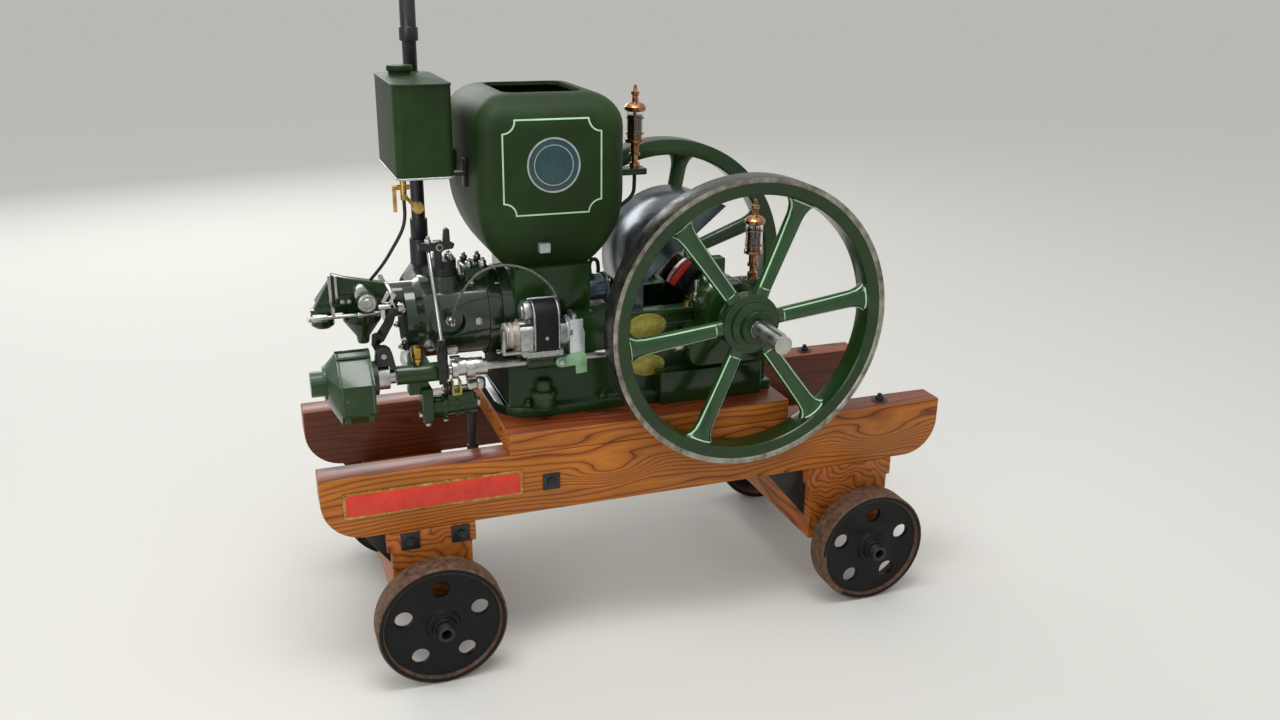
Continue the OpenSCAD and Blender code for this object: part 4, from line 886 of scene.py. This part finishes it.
def sight_oiler(x, y, z, name):
    """Drip oiler with a glass, standing on a point; returns its brass."""
    at = (x, y, z)
    brass = fitted(name + "_brass", "brass", gunmetal,
                   turned([(0, 0), (13, 0), (13, 14), (8, 16), (8, 30), (14, 31), (14, 37), (11, 38),
                           (11, 58), (15, 60), (24, 64), (24, 72), (19, 72), (0, 72)], at),
                   turned([(0, 139), (21, 139), (26.5, 142), (26.5, 150), (20, 157), (8, 162), (7, 176),
                           (10, 179), (10, 186), (5, 189), (4, 200), (0, 203.5)], at),
                   turned([(0, 70), (4, 70), (4, 140), (0, 140)], at),
                   *[turned(collar(21.6, 22.6, low, low + 3), at) for low in (84, 122)])
    fitted(name + "_glass", "brass", sight_glass, turned(collar(18.5, 21.5, 71, 140), at))
    fitted(name + "_oil", "brass", dark_oil, turned(collar(4.2, 18, 72.5, 131), at))
    return brass


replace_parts(sight_oiler(304, -110, 857, "crank_oiler"), "crank_oiler")
sight_oiler(20, 0, 1132, "cylinder_oiler")
arm = fitted("oiler_arm_casting", "green_paint", green_enamel, block((-70, -22, 1118), (46, 22, 1134), 3))
fitted("oiler_feed_pipe", "brass", black_iron,
       pipe([(20, 0, 1125), (20, 0, 1094), (16, 0, 1068), (-10, 0, 1044), (-42, 0, 1024), (-66, 0, 1002),
             (-84, 0, 974), (-93, 0, 951), (-94, 0, 939), (-94, 0, 933.5)], 5))
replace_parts(arm, "cylinder_oiler")


# Last small fittings

fitted("governor_cover_screws", "green_paint", worn_and_sheen_enamel,
       block((-749, -212, 781.5), (-674, -204, 785.5), 1.5), bolt((-735, -265, 703), (0, -1, 0), 9, 2.5),
       bolt((-664, -128, 881), (0, -1, 0), 14, 5),
       *[bolt((x, -256, 655), (0, -0.5, -0.86), 11, 6) for x in (-738, -686)])
fitted("throttle_disc", "bright_steel", cast_aluminium,
       turned([(0, 0), (21, 0), (21, 5), (18, 7), (12, 7), (10, 9), (0, 9)], (-664, -127.5, 881), (0, -1, 0)))
# Brass grease cup on the front bearing and small cap on the crankcase
fitted("grease_cup_and_cap", "brass", yellow_brass,
       turned([(0, 0), (6, 0), (6, 9), (12, 10), (12, 17), (10, 18), (14, 20), (14, 36), (15, 37), (15, 44),
               (10, 47), (0, 48)], (-568, -185, 742)),
       turned([(0, 0), (8, 0), (8, 9), (10, 10), (10, 15), (0, 17)], (120, -124, 801)))


# Stage, camera and light

bpy.ops.object.select_all(action="DESELECT")
bpy.ops.mesh.primitive_plane_add(size=400, location=(0, 0, 0))
floor = bpy.context.active_object
floor.name = "studio_floor"
paper = finish("pale_studio_paper", Base_Color=rgb("#d2d0ca"), Roughness=0.9)[0]
floor.data.materials.append(paper)

# The photograph's camera, from a fit to points of the engine
CAMERA_AT = (-0.9361, -2.6145, 1.6205)      # metres
YAW, PITCH, ROLL = 0.358, 0.343, 0.014      # radians: from Y towards X, downwards, about the view
SENSOR, FOCAL = 36.0, 31.587                # millimetres
ahead = Vector((math.sin(YAW) * math.cos(PITCH), math.cos(YAW) * math.cos(PITCH), -math.sin(PITCH)))
right = Vector((math.cos(YAW), -math.sin(YAW), 0))
up = right.cross(ahead)
right, up = (math.cos(ROLL) * right + math.sin(ROLL) * up,
             -math.sin(ROLL) * right + math.cos(ROLL) * up)
lens = bpy.data.cameras.new("photo_camera")
lens.sensor_width = SENSOR
lens.lens = FOCAL
lens.clip_start = 0.05
lens.clip_end = 1000.0
camera = bpy.data.objects.new("photo_camera", lens)
bpy.context.collection.objects.link(camera)
camera.matrix_world = Matrix([(right[i], up[i], -ahead[i], CAMERA_AT[i]) for i in range(3)]
                             + [(0, 0, 0, 1)])
bpy.context.scene.camera = camera


def softbox(name, at, aim, size, power):
    """Rectangular lamp that looks at a point; metres and watts."""
    lamp = bpy.data.lights.new(name, "AREA")
    lamp.shape = "RECTANGLE"
    lamp.size, lamp.size_y = size
    lamp.energy = power
    obj = bpy.data.objects.new(name, lamp)
    bpy.context.collection.objects.link(obj)
    obj.location = at
    obj.rotation_euler = (Vector(aim) - Vector(at)).to_track_quat("-Z", "Y").to_euler()


softbox("overhead_softbox", (-0.6, -0.8, 4.6), (0, 0, 0.8), (2.6, 1.5), 95)
softbox("rear_softbox", (-1.4, 5.6, 2.9), (0, 0, 0.9), (4.6, 1.4), 115)
softbox("left_softbox", (-3.6, -3.4, 2.6), (0, 0, 0.8), (2.2, 1.8), 55)

# Pale world that brightens from the horizon to the zenith
world = bpy.data.worlds.new("studio_world")
bpy.context.scene.world = world
world.use_nodes = True
tree = world.node_tree
back = tree.nodes["Background"]
height = put(tree, "SeparateXYZ", {"Vector": put(tree, "TexCoord").outputs["Generated"]})
sky = put(tree, "ValToRGB", {"Fac": height.outputs["Z"]},
          stops=[(0.0, "#cfcfca"), (0.12, "#c6c8c6"), (0.45, "#e6e9ea"), (1.0, "#ffffff")])
tree.links.new(sky.outputs["Color"], back.inputs["Color"])
back.inputs["Strength"].default_value = 0.85

bpy.context.scene.view_settings.view_transform = "Standard"
